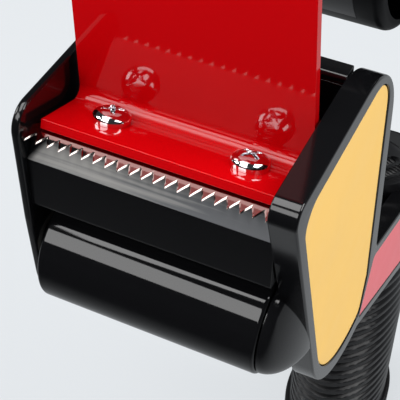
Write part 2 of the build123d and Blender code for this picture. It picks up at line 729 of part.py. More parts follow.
# Guide roller with rings that touch the sticky side of the tape
with BuildPart() as guide_roller:
    length = HEAD_INSIDE - 2 * BODY_GAP
    extrude(disc(side_plane(CHEEK_IN + BODY_GAP), GUIDE_AXIS, GUIDE_RADIUS, GUIDE_AXLE + RUN_GAP),
            amount=length)
    ring_pitch = length / GUIDE_RINGS
    for ring in range(GUIDE_RINGS):
        start = CHEEK_IN + BODY_GAP + (ring + 0.25) * ring_pitch
        extrude(disc(side_plane(start), GUIDE_AXIS, GUIDE_RADIUS + 1.0, GUIDE_RADIUS - GUIDE_GROOVE),
                amount=ring_pitch / 2, mode=Mode.SUBTRACT)
save(guide_roller.part, "guide_roller")

with BuildPart() as guide_axle:
    extrude(disc(side_plane(CHEEK_OUT - AXLE_END), GUIDE_AXIS, GUIDE_AXLE),
            amount=INNER + AXLE_SOCKET - SEAT_GAP - CHEEK_OUT + AXLE_END)
    extrude(disc(side_plane(CHEEK_OUT - CLIP_THICK - 2 * SEAT_GAP), GUIDE_AXIS,
                 GUIDE_AXLE + 1.0, GUIDE_AXLE - CLIP_GROOVE),
            amount=CLIP_THICK + 2 * SEAT_GAP, mode=Mode.SUBTRACT)
save(guide_axle.part, "guide_axle")

# Snap rings in the axles' grooves outside the left cheek
with BuildPart() as axle_clips:
    for at, radius in ((ROLLER_AXIS, AXLE_RADIUS - CLIP_GROOVE), (GUIDE_AXIS, GUIDE_AXLE - CLIP_GROOVE)):
        start = CHEEK_OUT - CLIP_THICK - SEAT_GAP
        extrude(disc(side_plane(start), at, radius + CLIP_WIDTH, radius + PRESS_GAP), amount=CLIP_THICK)
        with BuildSketch(side_plane(start)):
            with Locations((at[0] - radius - CLIP_WIDTH / 2, at[1])):
                Rectangle(CLIP_WIDTH + 1.0, radius)
        extrude(amount=CLIP_THICK, mode=Mode.SUBTRACT)
save(axle_clips.part, "axle_clips")

# Hub that the core of the roll sits on: rim, web with windows, barrel and hidden ribs
with BuildPart() as hub_drum:
    extrude(disc(hub_plane(HUB_LEFT), (0, 0), HUB_RADIUS, HUB_RADIUS - HUB_SKIN), amount=HUB_RIGHT - HUB_LEFT)
    fillet(hub_drum.edges().filter_by(GeomType.CIRCLE).group_by(SortBy.RADIUS)[-1], HUB_ROUND)
    extrude(disc(hub_plane(HUB_WEB_LEFT), (0, 0), HUB_RADIUS - HUB_SKIN / 2), amount=HUB_WEB)
    extrude(disc(hub_plane(HUB_WEB_LEFT), (0, 0), HUB_BARREL), amount=HUB_RIGHT - HUB_WEB_LEFT)
    with BuildSketch(hub_plane(HUB_WEB_LEFT)):
        with PolarLocations((HUB_BARREL + HUB_RADIUS - HUB_SKIN) / 2, HUB_RIBS, start_angle=30.0):
            Circle(HUB_WINDOW)
    extrude(amount=HUB_WEB, mode=Mode.SUBTRACT)
    with BuildSketch(hub_plane(HUB_WEB_LEFT + HUB_WEB)):
        with PolarLocations((HUB_BARREL + HUB_RADIUS - HUB_SKIN) / 2, HUB_RIBS):
            Rectangle(HUB_RADIUS - HUB_SKIN - HUB_BARREL + 2.0, HUB_RIB_THICK)
    extrude(amount=HUB_RIGHT - HUB_WEB_LEFT - HUB_WEB - HUB_RIB_SHORT)
    extrude(disc(hub_plane(HUB_WEB_LEFT), (0, 0), HUB_BOLT + RUN_GAP),
            amount=HUB_RIGHT - HUB_WEB_LEFT, mode=Mode.SUBTRACT)
    for turn in range(LEAF_COUNT):
        extrude(leaf_ring(LEAF_LEFT - SEAT_GAP, turn, HUB_RADIUS - LEAF_SUNK - SEAT_GAP,
                          HUB_RADIUS + 1.0, LEAF_WIDTH + 2 * SEAT_GAP),
                amount=LEAF_LONG + 2 * SEAT_GAP, mode=Mode.SUBTRACT)
save(hub_drum.part, "hub_drum")

# Spring leaves let into the rim, which hold the core of the roll
with BuildPart() as core_leaves:
    for turn in range(LEAF_COUNT):
        extrude(leaf_ring(LEAF_LEFT, turn, HUB_RADIUS - LEAF_SUNK,
                          HUB_RADIUS - LEAF_SUNK + LEAF_THICK, LEAF_WIDTH),
                amount=LEAF_LONG)
save(core_leaves.part, "core_leaves")

# Hub bolt, from its head outside the frame to the thread that the knob runs on
with BuildPart() as hub_axle:
    with BuildSketch(hub_plane(FRAME_OUT + SEAT_GAP)):
        RegularPolygon(BOLT_HEAD, 6)
    extrude(amount=BOLT_HEAD_HIGH)
    extrude(disc(hub_plane(BOLT_LEFT), (0, 0), HUB_BOLT), amount=FRAME_OUT + 1.0 - BOLT_LEFT)
    chamfer(hub_axle.faces().sort_by(Axis.X)[0].edges(), 0.6)
save(hub_axle.part, "hub_axle")

# Brake: friction washer at the frame, then washers, spring and knob in the hub's bowl
save(bar_on_hub(WASHER_LEFT, WASHER_LEFT + WASHER_THICK, WASHER_RADIUS), "friction_washer")

with BuildPart() as thrust_washers:
    add(bar_on_hub(SPRING_END + SEAT_GAP, SPRING_END + SEAT_GAP + STEEL_WASHER_THICK, STEEL_WASHER))
    add(bar_on_hub(KNOB_RIGHT + BODY_GAP, KNOB_RIGHT + BODY_GAP + STEEL_WASHER_THICK, STEEL_WASHER))
save(thrust_washers.part, "thrust_washers")

with BuildPart() as brake_spring:
    height = SPRING_END - SPRING_START - SPRING_WIRE
    with BuildLine():
        coil = Helix(
            pitch=height / SPRING_COILS,
            height=height,
            radius=SPRING_RADIUS,
            center=(SPRING_START + SPRING_WIRE / 2, 0, 0),
            direction=(1, 0, 0),
        )
    with BuildSketch(Plane(origin=coil @ 0, z_dir=coil % 0)):
        Circle(SPRING_WIRE / 2)
    sweep()
save(brake_spring.part, "brake_spring")

with BuildPart() as brake_knob:
    with BuildSketch(hub_plane(KNOB_LEFT)) as grip_face:
        Circle(KNOB_RADIUS - KNOB_LOBE / 2)
        with PolarLocations(KNOB_RADIUS - KNOB_LOBE, KNOB_LOBES):
            Circle(KNOB_LOBE)
        fillet(grip_face.vertices(), 0.8)
    extrude(amount=KNOB_THICK)
    fillet(brake_knob.faces().sort_by(Axis.X)[0].edges(), 0.8)
    extrude(disc(hub_plane(KNOB_LEFT), (0, 0), HUB_BOLT + RUN_GAP), amount=KNOB_THICK, mode=Mode.SUBTRACT)
save(brake_knob.part, "brake_knob")

# Grip sleeve on the tang, ribbed in front and smooth at its sides
with BuildPart() as grip_sleeve:
    extrude(grip_oval(SLEEVE_END_Z), amount=arm_low(GRIP_FRONT) - SLEEVE_END_Z + 10.0)
    extrude(sloped_band(lambda y: arm_low(y) + 60.0, lambda y: arm_low(y) - SEAT_GAP),
            amount=GRIP_WIDTH + 4.0, mode=Mode.SUBTRACT)
    groove_z = SLEEVE_END_Z + RIB_END_MARGIN
    while groove_z + RIB_PITCH < arm_low(GRIP_FRONT):
        add(finger_groove(groove_z, RIB_GROOVE), mode=Mode.SUBTRACT)
        groove_z += RIB_PITCH
    with BuildSketch(grip_plane(SLEEVE_END_Z)):
        RectangleRounded(TANG_WIDTH + 2 * PANEL_GAP, TANG_DEPTH + 2 * PANEL_GAP, TANG_CORNER + PANEL_GAP)
    extrude(amount=arm_low(GRIP_FRONT) - SLEEVE_END_Z + 10.0, mode=Mode.SUBTRACT)
save(grip_sleeve.part, "grip_sleeve")

# Ribbed rest for the thumb on top of the collar, cut away for the hub arm
with BuildPart() as thumb_rest:
    extrude(grip_oval(arm_top(GRIP_BACK) - 5.0), amount=GRIP_TOP_Z - arm_top(GRIP_BACK) + 5.0)
    fillet(thumb_rest.faces().sort_by(Axis.Z)[-1].edges(), REST_ROUND)
    extrude(sloped_band(lambda y: arm_top(y) + SEAT_GAP, lambda y: arm_top(y) - 60.0),
            amount=GRIP_WIDTH + 4.0, mode=Mode.SUBTRACT)
    groove_z = GRIP_TOP_Z - REST_MARGIN
    while groove_z - RIB_PITCH > arm_top(GRIP_FRONT):
        add(finger_groove(groove_z, RIB_GROOVE), mode=Mode.SUBTRACT)
        groove_z -= RIB_PITCH
    with BuildSketch(side_plane(INNER - PANEL_GAP)):
        with Locations((HUB_ARM_FRONT - PANEL_GAP, GRIP_TOP_Z + 5.0)):
            Rectangle(40.0, 60.0, align=(Align.MIN, Align.MAX))
    extrude(amount=FRAME_WALL + 5.0, mode=Mode.SUBTRACT)
    extrude(grip_disc(arm_top(GRIP_Y) - REST_PEG_LONG, REST_PEG), amount=REST_PEG_LONG + 8.0)
save(thumb_rest.part, "thumb_rest")

# Cap under the grip, and the screw that draws it up to the tang
with BuildPart() as butt_cap:
    extrude(grip_oval(GRIP_END_Z, grow=BUTT_LIP), amount=BUTT_CAP)
    fillet(butt_cap.faces().sort_by(Axis.Z)[0].edges(), 3.0)
    fillet(butt_cap.faces().sort_by(Axis.Z)[-1].edges(), 1.0)
    extrude(grip_disc(GRIP_END_Z, BUTT_SCREW + SEAT_GAP), amount=BUTT_CAP, mode=Mode.SUBTRACT)
    extrude(grip_disc(GRIP_END_Z, BUTT_HEAD + SEAT_GAP), amount=BUTT_HEAD_HIGH + 0.5, mode=Mode.SUBTRACT)
save(butt_cap.part, "butt_cap")

with BuildPart() as butt_screw:
    extrude(grip_disc(GRIP_END_Z + 0.5 - SEAT_GAP, BUTT_HEAD), amount=BUTT_HEAD_HIGH)
    extrude(grip_disc(GRIP_END_Z + 0.5, BUTT_SCREW), amount=BUTT_CAP + BUTT_SCREW_LONG - 1.5)
save(butt_screw.part, "butt_screw")
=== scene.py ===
"""Packing tape dispenser dressed for rendering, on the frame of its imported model.

Sizes are millimetres. Points of the head, arm and grip are measured from the cutting
line of the blade as (x, back, up), and points of the hub from the hub's centre.
"""
import logging
import math
from dataclasses import dataclass
from enum import Enum

import bmesh
import bpy
import numpy as np
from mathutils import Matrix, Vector
from mathutils.geometry import tessellate_polygon


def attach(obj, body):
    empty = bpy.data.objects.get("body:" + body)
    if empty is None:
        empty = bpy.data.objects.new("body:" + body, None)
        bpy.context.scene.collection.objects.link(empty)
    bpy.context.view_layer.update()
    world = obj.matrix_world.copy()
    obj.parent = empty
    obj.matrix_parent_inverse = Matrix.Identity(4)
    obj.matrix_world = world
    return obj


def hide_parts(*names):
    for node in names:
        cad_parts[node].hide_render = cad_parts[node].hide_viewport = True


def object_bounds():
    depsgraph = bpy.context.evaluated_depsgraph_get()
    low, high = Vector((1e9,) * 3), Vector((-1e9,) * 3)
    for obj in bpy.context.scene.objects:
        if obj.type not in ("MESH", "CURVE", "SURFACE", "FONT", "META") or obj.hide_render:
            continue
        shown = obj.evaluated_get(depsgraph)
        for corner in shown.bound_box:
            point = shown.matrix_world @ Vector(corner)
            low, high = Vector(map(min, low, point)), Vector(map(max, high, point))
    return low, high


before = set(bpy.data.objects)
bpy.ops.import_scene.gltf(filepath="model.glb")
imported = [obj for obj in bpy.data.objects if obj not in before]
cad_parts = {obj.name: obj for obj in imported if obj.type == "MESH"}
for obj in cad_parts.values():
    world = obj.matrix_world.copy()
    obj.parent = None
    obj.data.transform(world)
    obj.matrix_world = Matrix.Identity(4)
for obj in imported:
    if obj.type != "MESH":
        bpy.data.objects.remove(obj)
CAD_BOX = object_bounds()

LOG = logging.getLogger("dispenser")
Array = np.ndarray
Tree = bpy.types.NodeTree
Socket = bpy.types.NodeSocket
MM = 0.001
HEAD_ORIGIN = np.array([0.0, -102.0, -17.7])
HUB_ORIGIN = np.zeros(3)
JOIN = 2e-6
TURN = 2.0 * math.pi

INNER = 25.75
FRAME_OUT = 31.35
CHEEK_IN = -26.3
CHEEK_OUT = -28.1
HEAD_TOP = 10.0
NOSE_BACK, NOSE_LEAN = -6.5, 0.313
REAR_BACK, REAR_LEAN = 49.4, 0.125
ARM_TOP_BACK, ARM_TOP_UP, ARM_TOP_FALL = 57.9, -60.4, 0.39
ARM_LOW_BACK, ARM_LOW_UP, ARM_LOW_FALL = 51.0, -84.0, 0.51
DECK_SLOPE = math.radians(19.3)
DECK_RUN = np.array([math.cos(DECK_SLOPE), -math.sin(DECK_SLOPE)])
DECK_UP = np.array([math.sin(DECK_SLOPE), math.cos(DECK_SLOPE)])
BEND = np.array([2.75, 1.6])
ROLLER_Y, ROLLER_Z = 7.0, -33.8
GRIP_X, GRIP_Y = 14.7, 109.0
GRIP_HALF_X, GRIP_HALF_Y = 16.3, 25.0
GRIP_TOP, GRIP_END = -50.0, -203.0
HUB_HEAD_Y, HUB_HEAD_Z = 102.0, 17.7
MIX_FACTOR, MIX_A, MIX_B, MIX_RESULT = 0, 6, 7, 2


class Body(Enum):
    """Moving bodies of the tool."""

    FRAME = "frame"
    ROLLER = "applicator_roller"
    GUIDE = "guide"
    HUB = "hub"
    KNOB = "knob"


def nose_line(up: float) -> float:
    """Distance back of the frame's front wall at a height."""
    return NOSE_BACK + NOSE_LEAN * (HEAD_TOP - up)


def rear_line(up: float) -> float:
    """Distance back of the head's rear edge at a height."""
    return REAR_BACK + REAR_LEAN * (HEAD_TOP - up)


def arm_top(back: Array) -> Array:
    """Height of the arm's upper edge."""
    return ARM_TOP_UP - ARM_TOP_FALL * (back - ARM_TOP_BACK)


def arm_low(back: Array) -> Array:
    """Height of the arm's lower edge."""
    return ARM_LOW_UP - ARM_LOW_FALL * (back - ARM_LOW_BACK)


def on_deck(run: float, rise: float) -> Array:
    """Point of the side view, back along the sloping deck and up from the blade's top."""
    return BEND + run * DECK_RUN + rise * DECK_UP


def rounded(corners: tuple, step: float = 7.5) -> Array:
    """Closed outline whose corners are arcs tangent to their two sides.

    Args:
        corners: (back, up, radius) of each corner, in order.
        step: Largest angle between two points of an arc, in degrees.

    Returns:
        Array (n, 2), counter-clockwise.
    """
    points = np.array([corner[:2] for corner in corners], float)
    pieces = []
    for index, (point, corner) in enumerate(zip(points, corners)):
        radius = corner[2]
        if radius <= 0.0:
            pieces.append(point[None])
            continue
        to_last = points[index - 1] - point
        to_next = points[(index + 1) % len(points)] - point
        to_last /= np.linalg.norm(to_last)
        to_next /= np.linalg.norm(to_next)
        half = 0.5 * math.acos(float(np.clip(to_last @ to_next, -1.0, 1.0)))
        bisector = (to_last + to_next) / np.linalg.norm(to_last + to_next)
        centre = point + bisector * radius / math.sin(half)
        start = point + to_last * radius / math.tan(half) - centre
        turn = to_next[0] * to_last[1] - to_next[1] * to_last[0]
        sweep = math.copysign(math.pi - 2.0 * half, turn)
        count = max(2, math.ceil(math.degrees(abs(sweep)) / step)) + 1
        angle = math.atan2(start[1], start[0]) + np.linspace(0.0, sweep, count)
        pieces.append(centre + radius * np.stack([np.cos(angle), np.sin(angle)], 1))
    outline = np.concatenate(pieces)
    ahead = np.roll(outline, -1, 0)
    area = np.sum(outline[:, 0] * ahead[:, 1] - outline[:, 1] * ahead[:, 0])
    return outline if area > 0.0 else outline[::-1].copy()


def round_angles(count: int) -> Array:
    """Angles of a full turn in equal steps, without the last one."""
    return np.linspace(0.0, TURN, count, endpoint=False)


def shifted(loop: Array, inward: float) -> Array:
    """Outline moved to its left by the mitre of its two sides at each point.

    Args:
        loop: Outline (n, 2).
        inward: Distance to the left of its direction.

    Returns:
        Outline of as many points.
    """
    side = np.roll(loop, -1, 0) - loop
    length = np.maximum(np.linalg.norm(side, axis=1, keepdims=True), 1e-9)
    left = np.stack([-side[:, 1], side[:, 0]], 1) / length
    last = np.roll(left, 1, 0)
    mitre = (left + last) / np.maximum(1.0 + np.sum(left * last, 1, keepdims=True), 0.3)
    return loop + inward * mitre


def edge_steps(edge: float, count: int = 4) -> tuple[Array, Array]:
    """Quarter circle of a rounded edge.

    Args:
        edge: Radius of the edge.
        count: Number of points on the quarter.

    Returns:
        Depth below the face and inset from the wall of each point, from the face down.
    """
    turn = np.linspace(0.0, math.pi / 2.0, count)
    return edge * (1.0 - np.cos(turn)), edge * (1.0 - np.sin(turn))


class Skin:
    """Surface of one piece, gathered from grids and flat faces in millimetres."""

    def __init__(self, origin: Array = HEAD_ORIGIN) -> None:
        """Starts an empty surface.

        Args:
            origin: Point that its millimetres are measured from.
        """
        self.origin = origin
        self.points: list[Array] = []
        self.faces: list[tuple] = []
        self.count = 0

    def add(self, points: Array, faces: list) -> None:
        """Adds loose points and the faces that join them.

        Args:
            points: Array whose last axis is (x, back, up).
            faces: Indices of each face's points.
        """
        flat = np.asarray(points, float).reshape(-1, 3)
        self.faces += [tuple(int(i) + self.count for i in face) for face in faces]
        self.points.append(flat)
        self.count += len(flat)

    def grid(self, points: Array, close_u: bool = False, close_v: bool = False) -> None:
        """Adds a grid of points (rows u, columns v) as four-sided faces.

        Args:
            points: Array (rows, columns, 3).
            close_u: The last row joins the first.
            close_v: The last column joins the first.
        """
        rows, columns = points.shape[:2]
        u = np.arange(rows if close_u else rows - 1)
        v = np.arange(columns if close_v else columns - 1)
        low_u, low_v = np.meshgrid(u, v, indexing="ij")
        high_u, high_v = (low_u + 1) % rows, (low_v + 1) % columns
        corners = np.stack(
            [low_u * columns + low_v, high_u * columns + low_v,
             high_u * columns + high_v, low_u * columns + high_v], -1)
        self.add(points, corners.reshape(-1, 4).tolist())

    def wall(self, loop: Array, across: Array, inset: Array) -> None:
        """Adds a wall that carries an outline across X.

        Args:
            loop: Outline (n, 2).
            across: X of each step.
            inset: How far the outline is moved to its left at each step.
        """
        rings = np.stack([shifted(loop, amount) for amount in inset])
        level = np.broadcast_to(np.asarray(across, float)[:, None, None], rings.shape[:2] + (1,))
        self.grid(np.concatenate([level, rings], -1), close_v=True)

    def face(self, loops: list, across: float) -> None:
        """Adds a flat face across X inside the first outline and outside the others."""
        flat = [[Vector((across, back, up)) for back, up in loop] for loop in loops]
        self.add(np.concatenate([np.array(loop) for loop in flat]), tessellate_polygon(flat))

    def plate(self, outline: Array, low: float, high: float, edges: tuple, steps: int = 4,
              recesses: tuple = ()) -> None:
        """Adds a plate across X with rounded edges.

        Args:
            outline: Counter-clockwise outline.
            low: X of its left face.
            high: X of its right face.
            edges: Edge radius at the left face, the right face and the recesses.
            steps: Number of points on the right edge.
            recesses: Outline and depth of each recess in the right face.
        """
        low_depth, low_inset = edge_steps(edges[0])
        high_depth, high_inset = edge_steps(edges[1], steps)
        self.wall(outline, np.concatenate([low + low_depth, (high - high_depth)[::-1]]),
                  np.concatenate([low_inset, high_inset[::-1]]))
        self.face([shifted(outline, edges[0])], low)
        self.face([shifted(outline, edges[1])]
                  + [shifted(loop[::-1], edges[2]) for loop, _ in recesses], high)
        for loop, depth in recesses:
            rim_depth, rim_inset = edge_steps(edges[2])
            self.wall(loop[::-1], np.append(high - rim_depth, high - depth),
                      np.append(rim_inset, 0.0))
            self.face([loop], high - depth)

    def lathe(self, profile: tuple, axis: tuple = (0.0, 0.0), count: int = 96) -> None:
        """Adds a surface turned about an axis along X.

        Args:
            profile: (x, radius) points; a radius of zero closes an end.
            axis: Back and up of the axis.
            count: Number of steps round the axis.
        """
        line = np.asarray(profile, float)
        angle = round_angles(count)
        across = np.broadcast_to(line[:, 0, None], (len(line), count))
        back = axis[0] + line[:, 1, None] * np.cos(angle)
        up = axis[1] + line[:, 1, None] * np.sin(angle)
        self.grid(np.stack([across, back, up], -1), close_v=True)

    def piece(self, name: str, finish: "Finish", *nodes: str, body: Body = Body.FRAME,
              sharp: float = 30.0) -> bpy.types.Object:
        """Makes the gathered surface one object in its finish.

        Args:
            name: Name of the object.
            finish: Finish it is dressed in.
            nodes: CAD nodes that it stands for.
            body: Body it rides on.
            sharp: Angle from which an edge stays sharp, in degrees.

        Returns:
            The object.
        """
        mesh = bpy.data.meshes.new(name)
        points = (np.concatenate(self.points) + self.origin) * MM
        mesh.from_pydata(points.tolist(), [], self.faces)
        return finish_mesh(mesh, name, finish, body, nodes, sharp)


def finish_mesh(mesh: bpy.types.Mesh, name: str, finish: "Finish", body: Body, nodes: tuple,
                sharp: float) -> bpy.types.Object:
    """Joins a mesh's seams, turns its faces out and makes it a piece.

    Args:
        mesh: Mesh in metres.
        name: Name of the object.
        finish: Finish it is dressed in.
        body: Body it rides on.
        nodes: CAD nodes that it stands for.
        sharp: Angle from which an edge stays sharp, in degrees.

    Returns:
        The object.
    """
    limit = math.radians(sharp)
    work = bmesh.new()
    work.from_mesh(mesh)
    bmesh.ops.remove_doubles(work, verts=work.verts, dist=JOIN)
    bmesh.ops.dissolve_degenerate(work, dist=1e-7, edges=work.edges)
    bmesh.ops.recalc_face_normals(work, faces=work.faces)
    for face in work.faces:
        face.smooth = True
    for edge in work.edges:
        edge.smooth = len(edge.link_faces) == 2 and edge.calc_face_angle(0.0) < limit
    work.to_mesh(mesh)
    work.free()
    piece = placed(name, mesh)
    mesh.materials.append(finish.material())
    normals = piece.modifiers.new("even_shading", "WEIGHTED_NORMAL")
    normals.keep_sharp = True
    normals.weight = 80
    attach(piece, body.value)
    if nodes:
        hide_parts(*nodes)
    LOG.info("%s: %d faces on %s", name, len(mesh.polygons), body.value)
    return piece


def soften(piece: bpy.types.Object, width: float, segments: int, angle: float) -> None:
    """Rounds a piece's sharp edges, ahead of its even shading.

    Args:
        piece: Piece to soften.
        width: Width of the rounding.
        segments: Number of its steps.
        angle: Least angle of an edge that is rounded, in degrees.
    """
    bevel = piece.modifiers.new("soft_edges", "BEVEL")
    bevel.width = width * MM
    bevel.segments = segments
    bevel.limit_method = "ANGLE"
    bevel.angle_limit = math.radians(angle)
    bevel.harden_normals = True
    piece.modifiers.move(1, 0)


def refined(source: str, finish: "Finish", edge: float,
            body: Body = Body.FRAME) -> bpy.types.Object:
    """Copy of a CAD node with joined faces, smooth curves and softened edges.

    Args:
        source: CAD node that is copied and stood for.
        finish: Finish it is dressed in.
        edge: Width of the softened edges.
        body: Body it rides on.

    Returns:
        The object.
    """
    work = bmesh.new()
    work.from_mesh(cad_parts[source].data)
    bmesh.ops.remove_doubles(work, verts=work.verts, dist=JOIN)
    bmesh.ops.dissolve_limit(work, angle_limit=math.radians(0.6), verts=work.verts,
                             edges=work.edges, delimit=set())
    mesh = bpy.data.meshes.new(f"{source}_shape")
    work.to_mesh(mesh)
    work.free()
    piece = finish_mesh(mesh, f"{source}_shape", finish, body, (source,), 30.0)
    if edge > 0.0:
        soften(piece, edge, 2, 35.0)
    return piece


def placed(name: str, data: bpy.types.ID) -> bpy.types.Object:
    """Links a new object into the scene.

    Args:
        name: Name of the object.
        data: Its data.

    Returns:
        The object.
    """
    item = bpy.data.objects.new(name, data)
    bpy.context.scene.collection.objects.link(item)
    return item


def node(tree: Tree, kind: str, inputs: dict, **settings: object) -> bpy.types.NodeOutputs:
    """Adds a shader node.

    Args:
        tree: Tree the node goes in.
        kind: Its type, without the words ShaderNode.
        inputs: Value of each input by name or number, or the output that is linked to it.
        settings: Its settings.

    Returns:
        Its outputs.
    """
    made = tree.nodes.new(f"ShaderNode{kind}")
    for name, value in settings.items():
        setattr(made, name, value)
    for key, value in inputs.items():
        if isinstance(value, Socket):
            tree.links.new(value, made.inputs[key])
        else:
            made.inputs[key].default_value = value
    return made.outputs


def number(tree: Tree, operation: str, *values: Socket | float) -> Socket:
    """Output of a Math node with these values or links."""
    return node(tree, "Math", dict(enumerate(values)), operation=operation)["Value"]


def ramp(tree: Tree, source: Socket, span: tuple, low: float, high: float) -> Socket:
    """Adds a smooth step of a value.

    Args:
        tree: Tree the node goes in.
        source: Value that is stepped.
        span: Where the step starts and ends.
        low: Output before it.
        high: Output after it.

    Returns:
        The stepped value.
    """
    inputs = {"Value": source, "From Min": span[0], "From Max": span[1], "To Min": low,
              "To Max": high}
    return node(tree, "MapRange", inputs, interpolation_type="SMOOTHSTEP")["Result"]


def axes(tree: Tree, vector: Socket) -> bpy.types.NodeOutputs:
    """X, Y and Z outputs of a vector."""
    return node(tree, "SeparateXYZ", {"Vector": vector})


def speckle() -> Tree:
    """Group that gives fine grain and broad unevenness from Object coordinates.

    Returns:
        The group, built once.
    """
    groups = bpy.data.node_groups
    if "surface_speckle" in groups:
        return groups["surface_speckle"]
    tree = groups.new("surface_speckle", "ShaderNodeTree")
    for name, way, value in (("Fine Scale", "INPUT", 2500.0), ("Broad Scale", "INPUT", 60.0),
                             ("Grain", "OUTPUT", 0.0), ("Broad", "OUTPUT", 0.0)):
        socket = tree.interface.new_socket(name, in_out=way, socket_type="NodeSocketFloat")
        socket.default_value = value
    source = tree.nodes.new("NodeGroupInput")
    result = tree.nodes.new("NodeGroupOutput")
    place = node(tree, "TexCoord", {})["Object"]
    for scale, out in (("Fine Scale", "Grain"), ("Broad Scale", "Broad")):
        inputs = {"Vector": place, "Scale": source.outputs[scale], "Detail": 3.0}
        tree.links.new(node(tree, "TexNoise", inputs)["Fac"], result.inputs[out])
    return tree


@dataclass(frozen=True)
class Finish:
    """Look of one of the tool's materials.

    Attributes:
        name: Name of the finish.
        slot: Material slot of the record; not used.
        colour: Linear base colour.
        rough: Roughness.
        metal: Whether it is bare metal.
        grain: Height of the surface's fine grain, in millimetres.
        specular: Level of reflection off its surface.
        uneven: Share by which roughness wanders over the surface.
    """

    name: str
    slot: str
    colour: tuple
    rough: float
    metal: bool = False
    grain: float = 0.0
    specular: float = 0.5
    uneven: float = 0.15

    def material(self) -> bpy.types.Material:
        """Builds the finish's material once.

        Returns:
            The material.
        """
        if self.name in bpy.data.materials:
            return bpy.data.materials[self.name]
        material = bpy.data.materials.new(self.name)
        material.use_nodes = True
        tree = material.node_tree
        shader = tree.nodes["Principled BSDF"]
        for name, value in (("Base Color", (*self.colour, 1.0)), ("Roughness", self.rough),
                            ("Metallic", float(self.metal)),
                            ("Specular IOR Level", self.specular)):
            shader.inputs[name].default_value = value
        marks = node(tree, "Group", {}, node_tree=speckle())
        inputs = {"Value": marks["Broad"], "From Min": 0.3, "From Max": 0.7,
                  "To Min": self.rough * (1.0 - self.uneven),
                  "To Max": self.rough * (1.0 + self.uneven)}
        tree.links.new(node(tree, "MapRange", inputs)["Result"], shader.inputs["Roughness"])
        if self.grain > 0.0:
            inputs = {"Height": marks["Grain"], "Strength": 1.0, "Distance": self.grain * MM}
            tree.links.new(node(tree, "Bump", inputs)["Normal"], shader.inputs["Normal"])
        self.dress(tree, shader)
        return material

    def dress(self, tree: Tree, shader: bpy.types.Node) -> None:
        """Adds what one kind of finish has over the plain ones."""


@dataclass(frozen=True)
class CutSheet(Finish):
    """Glossy sheet whose cut front edge is a little duller than its faces.

    The edge ends over a span of Y, in metres, and faces forward up to a span of the true
    normal's Y.
    """

    front: tuple = (-0.0984, -0.0981)
    square: tuple = (-0.9, -0.7)
    duller: float = 0.03

    def dress(self, tree: Tree, shader: bpy.types.Node) -> None:
        """Raises the roughness on the sheet's front edge.

        Args:
            tree: Tree of the material.
            shader: Its Principled BSDF.
        """
        place = axes(tree, node(tree, "TexCoord", {})["Object"])
        facing = axes(tree, node(tree, "NewGeometry", {})["True Normal"])
        edge = number(tree, "MULTIPLY", ramp(tree, place["Y"], self.front, 1.0, 0.0),
                      ramp(tree, facing["Y"], self.square, 1.0, 0.0))
        dull = number(tree, "MULTIPLY_ADD", edge, self.duller, self.rough)
        tree.links.new(dull, shader.inputs["Roughness"])


@dataclass(frozen=True)
class PaintedReflection(Finish):
    """Black moulding whose bevel under the teeth carries a painted reflection of light.

    Its left end leans with Z, counted from its level, and the painted reflection fades out
    there. Left, foot, front and length are spans of Object coordinates, in metres. The
    streaks are the scale along X, Y and Z of the dark and light streaks of the painted
    reflection, which grow darker towards the right over the length.
    """

    lean: float = 0.85
    level: float = -0.0177
    left: tuple = (-0.0232, -0.0212)
    foot: tuple = (-0.02205, -0.0219)
    front: tuple = (-0.09896, -0.0989)
    streaks: tuple = (45.0, 1500.0, 1500.0)
    dark: tuple = (0.105, 0.107, 0.112)
    light: tuple = (0.26, 0.252, 0.24)
    length: tuple = (-0.022, 0.03)
    reflection_fade: tuple = (0.2, -0.35)

    def mask(self, tree: Tree, place: bpy.types.NodeOutputs) -> Socket:
        """Marks where the reflection is painted on the bevel, up to a slanting soft end on its
        left.

        Args:
            tree: Tree of the material.
            place: X, Y and Z of the Object coordinates.

        Returns:
            One on the bevel and zero elsewhere.
        """
        slant = number(tree, "MULTIPLY_ADD", place["Z"], -self.lean, self.lean * self.level)
        slant = number(tree, "ADD", slant, place["X"])
        ends = ramp(tree, slant, self.left, 0.0, 1.0)
        above = ramp(tree, place["Z"], self.foot, 0.0, 1.0)
        ahead = ramp(tree, place["Y"], self.front, 1.0, 0.0)
        return number(tree, "MULTIPLY", number(tree, "MULTIPLY", ends, above), ahead)

    def dress(self, tree: Tree, shader: bpy.types.Node) -> None:
        """Paints a grey reflection on the bevel in streaks along X.

        Args:
            tree: Tree of the material.
            shader: Its Principled BSDF.
        """
        source = node(tree, "TexCoord", {})["Object"]
        place = axes(tree, source)
        drawn = node(tree, "Mapping", {"Vector": source, "Scale": self.streaks})["Vector"]
        noise = node(tree, "TexNoise", {"Vector": drawn, "Scale": 1.0, "Detail": 4.0})["Fac"]
        grey = tree.nodes.new("ShaderNodeValToRGB")
        for element, position, colour in zip(grey.color_ramp.elements, (0.3, 0.75),
                                             (self.dark, self.light)):
            element.position = position
            element.color = (*colour, 1.0)
        # painted reflection: its streaks grow darker towards the right end of the bevel
        reflection_fade = ramp(tree, place["X"], self.length, *self.reflection_fade)
        tree.links.new(number(tree, "ADD", noise, reflection_fade), grey.inputs["Fac"])
        mix = node(tree, "Mix", {MIX_FACTOR: self.mask(tree, place), MIX_A: (*self.colour, 1.0),
                                 MIX_B: grey.outputs["Color"]}, data_type="RGBA")
        tree.links.new(mix[MIX_RESULT], shader.inputs["Base Color"])


